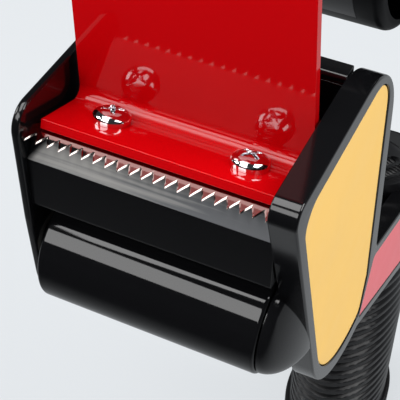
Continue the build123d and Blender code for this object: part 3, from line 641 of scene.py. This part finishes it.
JET = (0.0035, 0.0035, 0.004)
BLACK = Finish("black_moulding", "frame_plastic", JET, 0.12, grain=0.0015)
# crosspiece moulding with a painted reflection in grey streaks on its bevel under the teeth
NOSE = PaintedReflection("moulding_painted_reflection", "frame_plastic", JET, 0.16, grain=0.001)
YELLOW = Finish("yellow_panel", "panel_yellow", (0.9, 0.56, 0.15), 0.5, grain=0.001, specular=0.12)
STRIP = Finish("pale_red_strip", "strip_red", (0.72, 0.17, 0.19), 0.5, specular=0.15)
STEEL = Finish("bright_steel", "blade_steel", (0.36, 0.31, 0.29), 0.1, metal=True)
RED = CutSheet("glossy_red", "flap_red", (0.48, 0.0008, 0.0025), 0.05, specular=0.4)
CHROME = Finish("bright_chrome", "screw_chrome", (0.86, 0.86, 0.88), 0.07, metal=True)
ROLLER = Finish("roller_black", "roller_rubber", JET, 0.06)
CORE = Finish("core_black", "core_plastic", (0.02, 0.02, 0.022), 0.45, grain=0.004)
ACETAL = Finish("bush_acetal", "bush_plastic", (0.75, 0.73, 0.68), 0.4)
ZINC = Finish("axle_zinc", "axle_steel", (0.6, 0.6, 0.6), 0.25, metal=True)
HUB = Finish("hub_black", "hub_plastic", (0.003, 0.003, 0.004), 0.35, grain=0.002, specular=0.04)
BLUED = Finish("blued_leaf", "spring_steel", (0.006, 0.006, 0.008), 0.3, specular=0.3)
SPRING = Finish("spring_wire", "spring_steel", (0.5, 0.5, 0.5), 0.25, metal=True)
FIBRE = Finish("brown_fibre", "friction_fibre", (0.3, 0.22, 0.14), 0.7, grain=0.02)
KNOB = Finish("knob_red", "knob_plastic", (0.5, 0.006, 0.006), 0.25)
RUBBER = Finish("grip_black", "grip_rubber", (0.006, 0.006, 0.007), 0.36, grain=0.004, specular=0.3)


@dataclass(frozen=True)
class RollerBoss:
    """Rounded boss that holds the applicator roller's axle on the frame.

    It narrows over its reach, from an open face to a tip, along the frame's front wall
    and a ledge behind that. The bore is a share of its radius.
    """

    face: float = 25.15
    reach: float = 6.1
    radius: float = 12.0
    tip_radius: float = 1.5
    tip: tuple = (12.2, -44.0)
    wall: float = 3.1
    ledge: float = 29.7
    bore: float = 0.26
    rings: int = 24
    steps: int = 96

    def build(self) -> None:
        """Builds the boss.

        It is a row of circles that shrink along a quarter of an ellipse towards the
        plate's outer edge, while their centres move down its front wall.
        """
        turn = np.linspace(0.0, math.pi / 2.0, self.rings)[:, None]
        angle = round_angles(self.steps)
        width = np.cos(turn)
        radius = self.tip_radius + (self.radius - self.tip_radius) * width
        across = np.broadcast_to(self.face + self.reach * np.sin(turn), (self.rings, self.steps))
        back = self.tip[0] + (ROLLER_Y - self.tip[0]) * width + radius * np.cos(angle)
        up = self.tip[1] + (ROLLER_Z - self.tip[1]) * width + radius * np.sin(angle)
        behind = back > nose_line(up) + self.wall
        across = np.where(behind, np.minimum(across, self.ledge), across)
        shell = np.stack([across, back, up], -1)
        rim = shell[:1]
        centre = np.array([self.face, ROLLER_Y, ROLLER_Z])
        skin = Skin()
        skin.grid(np.concatenate([centre + (rim - centre) * self.bore, rim, shell[1:]]),
                  close_v=True)
        skin.add(shell[-1], [tuple(range(self.steps))])
        skin.piece("roller_boss", BLACK, sharp=35.0)


@dataclass(frozen=True)
class SideFrame:
    """Plate, arm, collar and hub arm on the right side.

    Rims, heel and foot bound the panel. The strip's span gives its lower front, upper
    front and end. Recesses have a depth, and their inlays lie low by a little.
    """

    edge: float = 0.5
    inner_edge: float = 0.3
    rim_edge: float = 0.3
    leaf_round: float = 36.5
    base: float = -83.7
    hub_radius: float = 21.0
    hub_front: float = 107.0
    hub_back: float = 124.0
    hub_boss: tuple = ((26.2, 16.0), (23.6, 16.0), (23.35, 15.7), (23.35, 4.05))
    rim_top: float = 4.6
    rim_front: float = 3.3
    rim_rear: tuple = (4.0, 5.4)
    heel: float = -66.0
    foot: tuple = (51.2, -78.4)
    panel_depth: float = 1.5
    panel_low: float = 0.3
    strip_span: tuple = (51.5, 57.5, 100.0)
    strip_depth: float = 0.8
    strip_low: float = 0.2
    gap: float = 0.15

    def outline(self) -> Array:
        """Outline of the plate from the nose round by the hub to the leaf tip.

        Returns:
            Counter-clockwise outline.
        """
        front, back = HUB_HEAD_Y - self.hub_radius, HUB_HEAD_Y + self.hub_radius
        low, top = HUB_HEAD_Z - self.hub_radius, HUB_HEAD_Z + self.hub_radius
        join = ARM_LOW_BACK + (ARM_LOW_UP - self.base) / ARM_LOW_FALL
        notch = rear_line(ARM_TOP_UP)
        return rounded((
            (nose_line(HEAD_TOP), HEAD_TOP, 3.5),
            (rear_line(HEAD_TOP), HEAD_TOP, 24.0),
            (notch, arm_top(notch), 3.0),
            (self.hub_front, arm_top(self.hub_front), 0.0),
            (self.hub_front, GRIP_TOP + 8.0, 10.0),
            (front, low + 6.0, 12.0),
            (front, top, self.hub_radius - 0.1),
            (back, top, self.hub_radius - 0.1),
            (back, low, 12.0),
            (self.hub_back, GRIP_TOP, 12.0),
            (self.hub_back, arm_low(self.hub_back), 6.0),
            (join, self.base, 1.0),
            (nose_line(self.base), self.base, self.leaf_round),
        ), 4.0)

    def panel(self, gap: float) -> Array:
        """Outline of the leaf-shaped recess, or of the panel when there is a gap.

        Args:
            gap: Distance inside the recess.

        Returns:
            Counter-clockwise outline.
        """
        top = HEAD_TOP - self.rim_top - gap
        base = self.foot[1] + gap
        return rounded((
            (nose_line(top) + self.rim_front + gap, top, 5.0),
            (rear_line(top) - self.rim_rear[0] - gap, top, 12.0),
            (rear_line(self.heel) - self.rim_rear[1] - gap, self.heel + 0.4 * gap, 7.0),
            (self.foot[0] - 0.45 * gap, base, 3.0),
            (nose_line(base) + self.rim_front + gap, base, 31.0),
        ), 4.0)

    def strip(self, gap: float) -> Array:
        """Outline of the recess along the arm, or of the strip when there is a gap.

        Args:
            gap: Distance inside the recess.

        Returns:
            Counter-clockwise outline.
        """
        toe, heel, end = self.strip_span
        toe, heel, end, inset = toe + gap, heel + gap, end - gap, self.rim_front + gap
        return rounded((
            (heel, arm_top(heel) - inset, 0.8),
            (end, arm_top(end) - inset, 1.0),
            (end, arm_low(end) + inset, 1.0),
            (toe, arm_low(toe) + inset, 0.8),
        ))

    def build(self) -> None:
        """Builds the frame's pieces, the panel and the strip."""
        plate = Skin()
        plate.plate(self.outline(), INNER, FRAME_OUT,
                    (self.inner_edge, self.edge, self.rim_edge), 5,
                    ((self.panel(0.0), self.panel_depth), (self.strip(0.0), self.strip_depth)))
        plate.piece("frame_plate", BLACK, "side_frame")
        RollerBoss().build()
        hub = Skin(HUB_ORIGIN)
        hub.lathe(self.hub_boss)
        hub.piece("hub_boss", BLACK)
        self.collar()
        leaf = Skin()
        leaf.plate(self.panel(self.gap), FRAME_OUT - self.panel_depth,
                   FRAME_OUT - self.panel_low, (0.0, 0.3))
        leaf.piece("yellow_leaf", YELLOW, "side_panel")
        band = Skin()
        band.plate(self.strip(self.gap), FRAME_OUT - self.strip_depth,
                   FRAME_OUT - self.strip_low, (0.0, 0.1))
        band.piece("arm_band", STRIP, "arm_strip")

    def collar(self) -> None:
        """Builds the oval band between the arm's edges.

        Its rows are the grip's ellipse, drawn in to its middle at both ends, on the arm's
        lower edge and then on its upper one.
        """
        angle = round_angles(96)
        across = GRIP_HALF_X * np.cos(angle)
        back = GRIP_HALF_Y * np.sin(angle)
        rows = []
        for share, line, lift in ((0.0, arm_low, 0.0), (0.98, arm_low, 0.0), (1.0, arm_low, 0.3),
                                  (1.0, arm_top, -0.3), (0.98, arm_top, 0.0), (0.0, arm_top, 0.0)):
            y = GRIP_Y + back * share
            rows.append(np.stack([GRIP_X + across * share, y, line(y) + lift], -1))
        skin = Skin()
        skin.grid(np.stack(rows), close_v=True)
        skin.piece("grip_collar", BLACK)


@dataclass(frozen=True)
class Head:
    """Left cheek, crosspiece and rear wall, with a little play between the cheeks."""

    cheek_top: float = 7.9
    cheek_short: float = 2.0
    boss: tuple = ((CHEEK_IN, 6.0), (-25.1, 6.0), (-24.9, 5.8), (-24.9, 3.05))
    deck_drop: float = -0.65
    nose_low: float = -16.8
    wall_front: float = 33.0
    wall_back: float = 37.6
    play: float = 0.05

    def build(self) -> None:
        """Builds the three pieces."""
        self.cheek()
        self.crosspiece()
        self.wall()

    def between(self, outline: Array) -> Skin:
        """Makes a plate that spans from cheek to cheek.

        Args:
            outline: Counter-clockwise outline.

        Returns:
            Its surface.
        """
        skin = Skin()
        skin.plate(outline, CHEEK_IN + self.play, INNER - self.play, (0.1, 0.1))
        return skin

    def cheek(self) -> None:
        """Builds the thin left cheek."""
        skin = Skin()
        outline = rounded((
            (-2.1, self.cheek_top, 5.5),
            (rear_line(self.cheek_top) - self.cheek_short, self.cheek_top, 15.0),
            (rear_line(-50.0) - self.cheek_short, -50.0, 16.0),
            (31.0, -66.0, 14.0),
            (7.0, -57.0, 10.0),
            (-1.1, -40.0, 12.0),
            (-2.1, -20.0, 12.0),
        ), 5.0)
        skin.plate(outline, CHEEK_OUT, CHEEK_IN, (0.6, 0.5))
        skin.lathe(self.boss, (ROLLER_Y, ROLLER_Z))
        skin.piece("thin_cheek", BLACK, "left_cheek")

    def crosspiece(self) -> None:
        """Builds the sloping deck, the bevel under the teeth and the front face."""
        back = on_deck(15.4, self.deck_drop)
        outline = rounded((
            (*on_deck(0.5, self.deck_drop), 0.1),
            (*on_deck(12.05, self.deck_drop), 0.0),
            (*on_deck(12.05, 0.0), 0.15),
            (*on_deck(14.2, 0.0), 0.4),
            (*back, 0.6),
            (back[0] - 1.2, self.nose_low, 1.5),
            (-0.9, self.nose_low, 1.0),
            (-0.4, -4.2, 0.15),
        ), 12.0)
        self.between(outline).piece("nose_crosspiece", NOSE, "crosspiece")

    def wall(self) -> None:
        """Builds the rear wall with the fine line along its inner face."""
        front, back = self.wall_front, self.wall_back
        outline = rounded((
            (front, 9.6, 0.8), (back, 9.6, 0.8), (back, -30.0, 1.8), (front, -30.0, 1.8),
            (front, 7.4, 0.1), (33.4, 7.5, 0.1), (33.4, 8.1, 0.1), (front, 8.2, 0.1),
        ), 15.0)
        self.between(outline).piece("head_wall", BLACK, "rear_wall")


@dataclass(frozen=True)
class Blade:
    """Toothed blade under the flap.

    The powers and depths shape a notch in the upper and the lower face. The chisel is how
    far the upper face ends before a tip, and the lips are (back, up) from the bend on.
    """

    left: float = -26.25
    right: float = 25.2
    seat: float = 12.0
    thick: float = 0.6
    pitch: float = 2.5
    first: float = -26.05
    steps: int = 20
    depth: float = 3.1
    low_depth: float = 2.5
    power: tuple = (1.15, 1.05)
    chisel: float = 0.4
    under: float = 1.45
    upper_lip: tuple = ((2.75, 1.12), (1.2, 1.11), (-0.98, 1.1))
    lower_lip: tuple = ((2.9, 0.88), (2.0, 0.94))
    tip_thick: float = 0.16

    def face(self, line: Array, seat: Array, across: Array, notch: Array) -> Array:
        """One face of the strip, which each notch cuts back along its line.

        Args:
            line: Back and up of the lip, from the bend to the tip.
            seat: Back and up of the seat.
            across: X of each column.
            notch: How far the line is cut back at each column.

        Returns:
            Array (rows, columns, 3).
        """
        way = np.concatenate([[0.0], np.cumsum(np.linalg.norm(np.diff(line, axis=0), axis=1))])
        rest = np.linspace(0.1, 1.0, 9)
        mark = np.concatenate([way[:2], way[1] + (way[-1] - way[1]) * rest])
        run = np.minimum(mark[:, None], way[-1] - notch)
        lip = np.stack([np.interp(run, way, line[:, 0]), np.interp(run, way, line[:, 1])], -1)
        flat = np.broadcast_to(seat[:, None], (len(seat), len(across), 2))
        shape = np.concatenate([flat, lip])
        level = np.broadcast_to(across, shape.shape[:2])[..., None]
        return np.concatenate([level, shape], -1)

    def build(self) -> None:
        """Builds the seat and the toothed lip as one strip of steel.

        Its line runs from the back of the seat to a bend under the flange's edge and on,
        nearly level, to the tips. Each notch is a superellipse about the middle of a gap.
        It is wider in the upper face, so that a ground bevel ends in a chisel at each tip.
        """
        count = math.floor((self.right - self.left) / self.pitch * self.steps) + 1
        across = np.linspace(self.left, self.right, count)
        phase = (across - self.first) / self.pitch
        from_gap = np.abs(phase - np.floor(phase) - 0.5) * 2.0
        bend = BEND + DECK_RUN * self.under
        end = on_deck(self.seat, 0.0)
        seat = end + (bend - end) * np.array([[0.0], [0.97]])
        down = DECK_UP * self.thick
        tip = (self.upper_lip[-1][0], self.upper_lip[-1][1] - self.tip_thick)
        faces = []
        for line, drop, short, depth, power in (
                ((bend, *self.upper_lip), 0.0, self.chisel, self.depth, self.power[0]),
                ((bend - down, *self.lower_lip, tip), 1.0, 0.0, self.low_depth, self.power[1])):
            notch = short + (depth - short) * (1.0 - from_gap ** power) ** (1.0 / power)
            faces.append(self.face(np.array(line), seat - down * drop, across, notch))
        both = np.concatenate([faces[0], faces[1][::-1]])
        skin = Skin()
        skin.grid(both, close_u=True)
        for column in (0, -1):
            rim = both[:, column]
            skin.add(rim, [tuple(range(len(rim)))])
        skin.piece("toothed_blade", STEEL, "cutting_blade", sharp=25.0)


@dataclass(frozen=True)
class Flap:
    """Red wiper flap with its flange.

    The flange starts a little behind the deck's edge and lies just over the blade. The
    right edge leans to right_top from a little below the head's top.
    """

    left: float = -24.6
    right: float = 25.4
    right_top: float = 22.9
    top: float = 50.0
    thick: float = 2.0
    corner: float = 8.0
    face: float = 17.9
    fold: float = 3.2
    ahead: float = 0.1
    lift: float = 0.05
    lean_low: float = 3.0

    def middle_line(self, middle: float) -> Array:
        """Middle of the sheet in the side view, from the flange's edge to the top.

        Args:
            middle: Distance back of the upright's middle.

        Returns:
            Array (n, 2).
        """
        start = on_deck(self.ahead, self.lift + self.thick / 2.0)
        crook = (middle, start[1] - (middle - start[0]) * math.tan(DECK_SLOPE))
        loop = rounded(((*start, 0.0), (*crook, self.fold), (middle, self.top, 0.0),
                        (-40.0, self.top, 0.0)), 6.0)
        line = np.roll(loop, -int(np.argmin(np.abs(loop - start).sum(1))), 0)
        if line[1][0] < start[0]:
            line = np.roll(line[::-1], 1, 0)
        line = line[:-1]
        share = np.linspace(0.0, 1.0, 12, endpoint=False)[:, None]
        shoulder = self.top - self.corner
        quarter = np.sin(np.linspace(0.0, math.pi / 2.0, 12))
        height = np.concatenate([np.linspace(line[-2][1], shoulder, 24, endpoint=False),
                                 shoulder + self.corner * quarter])
        return np.concatenate([line[0] + (line[1] - line[0]) * share, line[1:-2],
                               np.stack([np.full(len(height), middle), height], 1)])

    def build(self) -> None:
        """Builds the flap as a bent sheet.

        The middle line runs up the flange, round the bend and up the upright. At each
        height the sheet spans from its left to its right edge, which lean and end in
        quarter circles at the top.
        """
        middle = self.face + self.thick / 2.0
        line = self.middle_line(middle)
        ahead = np.gradient(line, axis=0)
        ahead /= np.linalg.norm(ahead, axis=1, keepdims=True)
        normal = np.stack([-ahead[:, 1], ahead[:, 0]], 1)
        up = line[:, 1]
        on_flange = line[:, 0] < middle - 1.0
        rise = HEAD_TOP - self.lean_low
        lean = np.clip((up - rise) / (self.top - rise), 0.0, 1.0)
        ease = np.clip((up - self.top + self.corner) / self.corner, 0.0, 1.0)
        cut = self.corner * (1.0 - np.sqrt(np.maximum(1.0 - ease ** 2, 0.0)))
        cut = np.where(on_flange, 0.0, cut)
        lean = np.where(on_flange, 0.0, lean)
        low = self.left + cut
        high = self.right + (self.right_top - self.right) * lean - cut
        across = low[:, None] + (high - low)[:, None] * np.linspace(0.0, 1.0, 9)
        sheets = []
        for side in (0.5, -0.5):
            spread = (line + normal * side * self.thick)[:, None]
            spread = np.broadcast_to(spread, across.shape + (2,))
            sheets.append(np.concatenate([across[..., None], spread], -1))
        front, back = sheets
        skin = Skin()
        skin.grid(front)
        skin.grid(back)
        for one, other in ((front[0], back[0]), (front[-1], back[-1]),
                           (front[:, 0], back[:, 0]), (front[:, -1], back[:, -1])):
            skin.grid(np.stack([one, other]))
        soften(skin.piece("red_flap", RED, "tape_flap", sharp=40.0), 0.25, 3, 50.0)


@dataclass(frozen=True)
class FlapScrews:
    """Two pan-head screws on the flange.

    The cross is the half width, reach and depth of the recess, whose slots taper on their
    way out. The twists turn the left and the right one, in radians.
    """

    middle: float = 0.65
    apart: float = 14.65
    back: float = 8.8
    seat: float = 2.1
    radius: float = 3.9
    recessed: float = 2.5
    flat: float = 0.9
    rim: float = 0.8
    dome: float = 1.6
    crown: float = 0.1
    cross: tuple = (0.62, 2.25, 1.7)
    taper: float = 0.14
    twists: tuple = (0.5, 0.95)
    steps: int = 144

    def hollow(self, u: Array, v: Array, twist: float) -> Array:
        """Depth of the tapered cross recess.

        Args:
            u: Place along X.
            v: Place along the deck.
            twist: Turn of the cross, in radians.

        Returns:
            Depth at each place.
        """
        width, reach, depth = self.cross
        cos, sin = math.cos(twist), math.sin(twist)
        a, b = np.abs(u * cos + v * sin), np.abs(v * cos - u * sin)
        long, wide = np.maximum(a, b), np.minimum(a, b)
        slot = np.clip((width - self.taper * long - wide) / 0.16, 0.0, 1.0)
        return depth * slot * np.sqrt(np.clip((reach - long) / 0.6, 0.0, 1.0))

    def build(self) -> None:
        """Builds the heads.

        Each head is a height over a round grid: a flat-topped dome that falls off to its
        rim, less a tapered cross recess.
        """
        normal = np.array([0.0, *DECK_UP])
        along = np.array([0.0, *DECK_RUN])
        radius = np.concatenate([np.linspace(0.0, self.recessed, 32),
                                 np.linspace(self.recessed + 0.08, self.radius, 16)])
        angle = round_angles(self.steps)
        u = radius[:, None] * np.cos(angle)
        v = radius[:, None] * np.sin(angle)
        share = np.clip((radius - self.flat) / (self.radius - self.flat), 0.0, 1.0)
        dome = (self.rim + self.dome * np.sqrt(np.maximum(1.0 - share ** 2.0, 0.0))
                + self.crown * (1.0 - share))
        skin = Skin()
        for side, twist in zip((-1.0, 1.0), self.twists):
            seat = np.array([self.middle + side * self.apart, *on_deck(self.back, self.seat)])
            level = dome[:, None] - self.hollow(u, v, twist)
            points = (seat + u[..., None] * np.array([1.0, 0.0, 0.0])
                      + v[..., None] * along + level[..., None] * normal)
            foot = points[-1] - normal * dome[-1]
            skin.grid(points, close_v=True)
            skin.grid(np.stack([points[-1], foot]), close_v=True)
            skin.add(foot, [tuple(range(self.steps))])
        skin.piece("pan_screws", CHROME, "flap_screws", sharp=50.0)


@dataclass(frozen=True)
class ApplicatorRoller:
    """Smooth sleeve of the applicator roller."""

    left: float = -24.6
    right: float = 24.85
    radius: float = 12.5
    bore: float = 10.01
    edge: float = 0.8

    def build(self) -> None:
        """Builds the sleeve."""
        depth, inset = edge_steps(self.edge, 6)
        left = np.stack([self.left + depth, self.radius - inset], 1)
        right = np.stack([self.right - depth, self.radius - inset], 1)[::-1]
        hole = [(self.right, self.bore), (self.left, self.bore)]
        skin = Skin()
        skin.lathe(np.concatenate([hole[1:], left, right, hole]), (ROLLER_Y, ROLLER_Z), 128)
        skin.piece("smooth_roller", ROLLER, "roller_skin", body=Body.ROLLER)


@dataclass(frozen=True)
class Grip:
    """Ribbed grip sleeve and thumb rest.

    Each end has a plain height, after which the grooves fade in. The rest's top falls
    from fall_back on.
    """

    pitch: float = 4.4
    depth: float = 1.7
    foot: float = 9.05
    play: float = 0.05
    plain: float = 3.0
    fade: float = 2.0
    fall: float = 1.2
    fall_back: float = 85.0
    top_round: float = 1.5
    steps: int = 120

    def column(self, low: Array, high: Array, rows: int, phase: float, top_round: float) -> Array:
        """Ribbed oval column between two edges.

        The column is an ellipse, pressed in at each groove by an amount that is greatest
        at the front and fades to nothing at its sides.

        Args:
            low: Height of the lower edge at each angle.
            high: Height of the upper edge at each angle.
            rows: Number of rows.
            phase: Height of the middle of one groove.
            top_round: Radius of the upper edge.

        Returns:
            Array (rows, angles, 3).
        """
        angle = round_angles(self.steps)
        up = low + (high - low) * np.linspace(0.0, 1.0, rows)[:, None]
        wave = 0.5 + 0.5 * np.cos((up - phase) / self.pitch * TURN)
        groove = np.clip((wave - 0.45) / 0.5, 0.0, 1.0) ** 0.7
        front = np.clip(-np.sin(angle), 0.0, 1.0) ** 0.9
        ends = (np.clip((up - low - self.plain) / self.fade, 0.0, 1.0)
                * np.clip((high - up - self.plain) / self.fade, 0.0, 1.0))
        over = np.clip((up - high + top_round) / max(top_round, 1e-6), 0.0, 1.0)
        tuck = top_round * (1.0 - np.sqrt(np.maximum(1.0 - over ** 2, 0.0)))
        inset = self.depth * groove * front * ends + tuck
        across = GRIP_X + (GRIP_HALF_X - inset) * np.cos(angle)
        back = GRIP_Y + (GRIP_HALF_Y - inset) * np.sin(angle)
        return np.stack([across, back, np.broadcast_to(up, across.shape)], -1)

    def build(self) -> None:
        """Builds the sleeve and the thumb rest."""
        back = GRIP_Y + GRIP_HALF_Y * np.sin(round_angles(self.steps))
        low = np.full_like(back, GRIP_END + self.foot)
        sleeve = self.column(low, arm_low(back) - self.play, 380, -181.0, 0.0)
        self.close(sleeve).piece("ribbed_sleeve", RUBBER, "grip_sleeve", sharp=40.0)
        high = np.maximum(arm_top(back) + 1.0,
                          GRIP_TOP - self.fall * np.maximum(back - self.fall_back, 0.0))
        rest = self.column(arm_top(back) + self.play, high, 160, -55.7, self.top_round)
        self.close(rest).piece("ribbed_rest", RUBBER, "thumb_rest", sharp=40.0)

    def close(self, wall: Array) -> Skin:
        """Surface of a column's wall and the faces that close its two ends.

        Args:
            wall: Array (rows, angles, 3).

        Returns:
            The closed surface.
        """
        skin = Skin()
        skin.grid(wall, close_v=True)
        for row in (wall[0], wall[-1]):
            ridge = np.concatenate([np.full((len(row), 1), GRIP_X), row[:, 1:]], 1)
            skin.grid(np.stack([row, ridge]), close_v=True)
        return skin


@dataclass(frozen=True)
class Lamp:
    """Soft lamp aimed at the head.

    Attributes:
        name: Name of the lamp.
        azimuth: Degrees round from the front, positive to the right.
        height: Degrees above the horizon.
        distance: Metres from the head.
        size: Width and height in metres.
        power: Watts.
    """

    name: str
    azimuth: float
    height: float
    distance: float
    size: tuple
    power: float

    def build(self) -> None:
        """Adds the lamp."""
        data = bpy.data.lights.new(self.name, "AREA")
        data.shape = "RECTANGLE"
        data.size, data.size_y = self.size
        data.energy = self.power
        item = placed(self.name, data)
        turn, lift = math.radians(self.azimuth), math.radians(self.height)
        way = Vector((math.sin(turn) * math.cos(lift), -math.cos(turn) * math.cos(lift),
                      math.sin(lift)))
        item.location = Vector((0.0, -0.09, -0.02)) + way * self.distance
        item.rotation_euler = (-way).to_track_quat("-Z", "Y").to_euler()


@dataclass(frozen=True)
class Studio:
    """Camera, lamps, floor and world.

    The focal length is in pixels of a picture 400 pixels wide, the camera's place in
    millimetres, its tilt and turn in degrees and the floor's size in metres. The glow is
    the floor's own share in the camera's view, and the front floor is the stretch of Y
    over which its reflection turns from dark to pale.
    """

    focal: float = 1108.0
    place: tuple = (71.6, -229.12, 125.35)
    tilt: float = 44.6
    turn: float = 25.6
    floor_size: float = 6.0
    floor_colour: tuple = (0.7, 0.72, 0.74)
    glow_colour: tuple = (0.72, 0.75, 0.775)
    glow: float = 0.75
    front_floor: tuple = (-0.34, -0.06)
    reflected: tuple = (0.03, 0.55)
    around: tuple = (0.93, 0.96, 1.0)
    around_power: float = 0.42
    mirrored: tuple = (0.03, 0.032, 0.034)
    backdrop: tuple = (0.735, 0.765, 0.79)
    lamps: tuple = (
        Lamp("top_box", -75.0, 73.0, 1.2, (0.8, 0.6), 8.0),
        Lamp("left_box", -76.0, 34.0, 1.3, (0.5, 0.5), 5.5),
        Lamp("right_box", 112.0, 47.0, 1.2, (0.9, 0.8), 13.0),
        Lamp("front_box", -20.0, 41.0, 1.2, (0.9, 0.5), 6.5),
    )

    def camera(self) -> None:
        """Places the camera at the photograph's view."""
        data = bpy.data.cameras.new("camera")
        data.sensor_width = 36.0
        data.lens = self.focal / 400.0 * data.sensor_width
        data.clip_end = 20.0
        item = placed("camera", data)
        item.location = np.array(self.place) * MM
        item.rotation_euler = (math.radians(self.tilt), 0.0, math.radians(self.turn))
        bpy.context.scene.camera = item

    def floor(self) -> None:
        """Lays the pale floor under the butt of the grip.

        It is a matt floor that glows a little, so that its shadows stay soft. In
        reflections the stretch in front of the tool is dark, as under a camera.
        """
        mesh = bpy.data.meshes.new("floor")
        size, low = self.floor_size, CAD_BOX[0][2] - 0.0005
        corners = [(-size, -size, low), (size, -size, low), (size, size, low), (-size, size, low)]
        mesh.from_pydata(corners, [], [(0, 1, 2, 3)])
        item = placed("floor", mesh)
        material = bpy.data.materials.new("floor")
        material.use_nodes = True
        tree = material.node_tree
        shader = tree.nodes["Principled BSDF"]
        shader.inputs["Base Color"].default_value = (*self.floor_colour, 1.0)
        shader.inputs["Roughness"].default_value = 0.7
        ray = node(tree, "LightPath", {})
        place = axes(tree, node(tree, "TexCoord", {})["Object"])
        behind = ramp(tree, place["Y"], self.front_floor, *self.reflected)
        bright = number(tree, "MAXIMUM", behind, ray["Is Camera Ray"])
        glow = node(tree, "Emission", {"Color": (*self.glow_colour, 1.0), "Strength": bright})
        share = number(tree, "MAXIMUM", ray["Is Camera Ray"], ray["Is Transmission Ray"])
        share = number(tree, "MULTIPLY", share, self.glow)
        share = number(tree, "MAXIMUM", share, ray["Is Glossy Ray"])
        mix = node(tree, "MixShader", {"Fac": share, 1: shader.outputs["BSDF"],
                                       2: glow["Emission"]})
        tree.links.new(mix["Shader"], tree.nodes["Material Output"].inputs["Surface"])
        mesh.materials.append(material)

    def world(self) -> None:
        """Sets the pale backdrop, the soft light all round and dark reflections of it."""
        world = bpy.data.worlds.new("studio")
        world.use_nodes = True
        tree = world.node_tree
        ray = node(tree, "LightPath", {})
        around = tree.nodes["Background"]
        around.inputs["Color"].default_value = (*self.around, 1.0)
        around.inputs["Strength"].default_value = self.around_power
        last = around.outputs["Background"]
        for kind, colour in (("Is Glossy Ray", self.mirrored), ("Is Camera Ray", self.backdrop)):
            back = node(tree, "Background", {"Color": (*colour, 1.0)})["Background"]
            last = node(tree, "MixShader", {"Fac": ray[kind], 1: last, 2: back})["Shader"]
        tree.links.new(last, tree.nodes["World Output"].inputs["Surface"])
        bpy.context.scene.world = world
        bpy.context.scene.view_settings.view_transform = "Standard"

    def build(self) -> None:
        """Sets up the whole studio."""
        self.camera()
        self.floor()
        self.world()
        for lamp in self.lamps:
            lamp.build()


def plain_pieces() -> None:
    """Dresses the pieces that keep the shape of their CAD nodes."""
    for row in (
        ("cheek_screws", CHROME, 0.0),
        ("frame_screws", CHROME, 0.0),
        ("roller_core", CORE, 0.2, Body.ROLLER),
        ("roller_bushes", ACETAL, 0.1, Body.ROLLER),
        ("roller_axle", ZINC, 0.2),
        ("guide_roller", CORE, 0.2, Body.GUIDE),
        ("guide_axle", ZINC, 0.2),
        ("axle_clips", ZINC, 0.1),
        ("hub_drum", HUB, 0.3, Body.HUB),
        ("core_leaves", BLUED, 0.1, Body.HUB),
        ("hub_axle", ZINC, 0.3),
        ("friction_washer", FIBRE, 0.1),
        ("thrust_washers", ZINC, 0.1),
        ("brake_spring", SPRING, 0.0),
        ("brake_knob", KNOB, 0.3, Body.KNOB),
        ("butt_cap", RUBBER, 0.3),
        ("butt_screw", ZINC, 0.2),
    ):
        refined(*row)


def main() -> None:
    """Builds the whole tool and its studio."""
    logging.basicConfig(level=logging.INFO, format="%(name)s: %(message)s")
    SideFrame().build()
    Head().build()
    Blade().build()
    Flap().build()
    FlapScrews().build()
    ApplicatorRoller().build()
    Grip().build()
    plain_pieces()
    Studio().build()


if __name__ == "__main__":
    main()
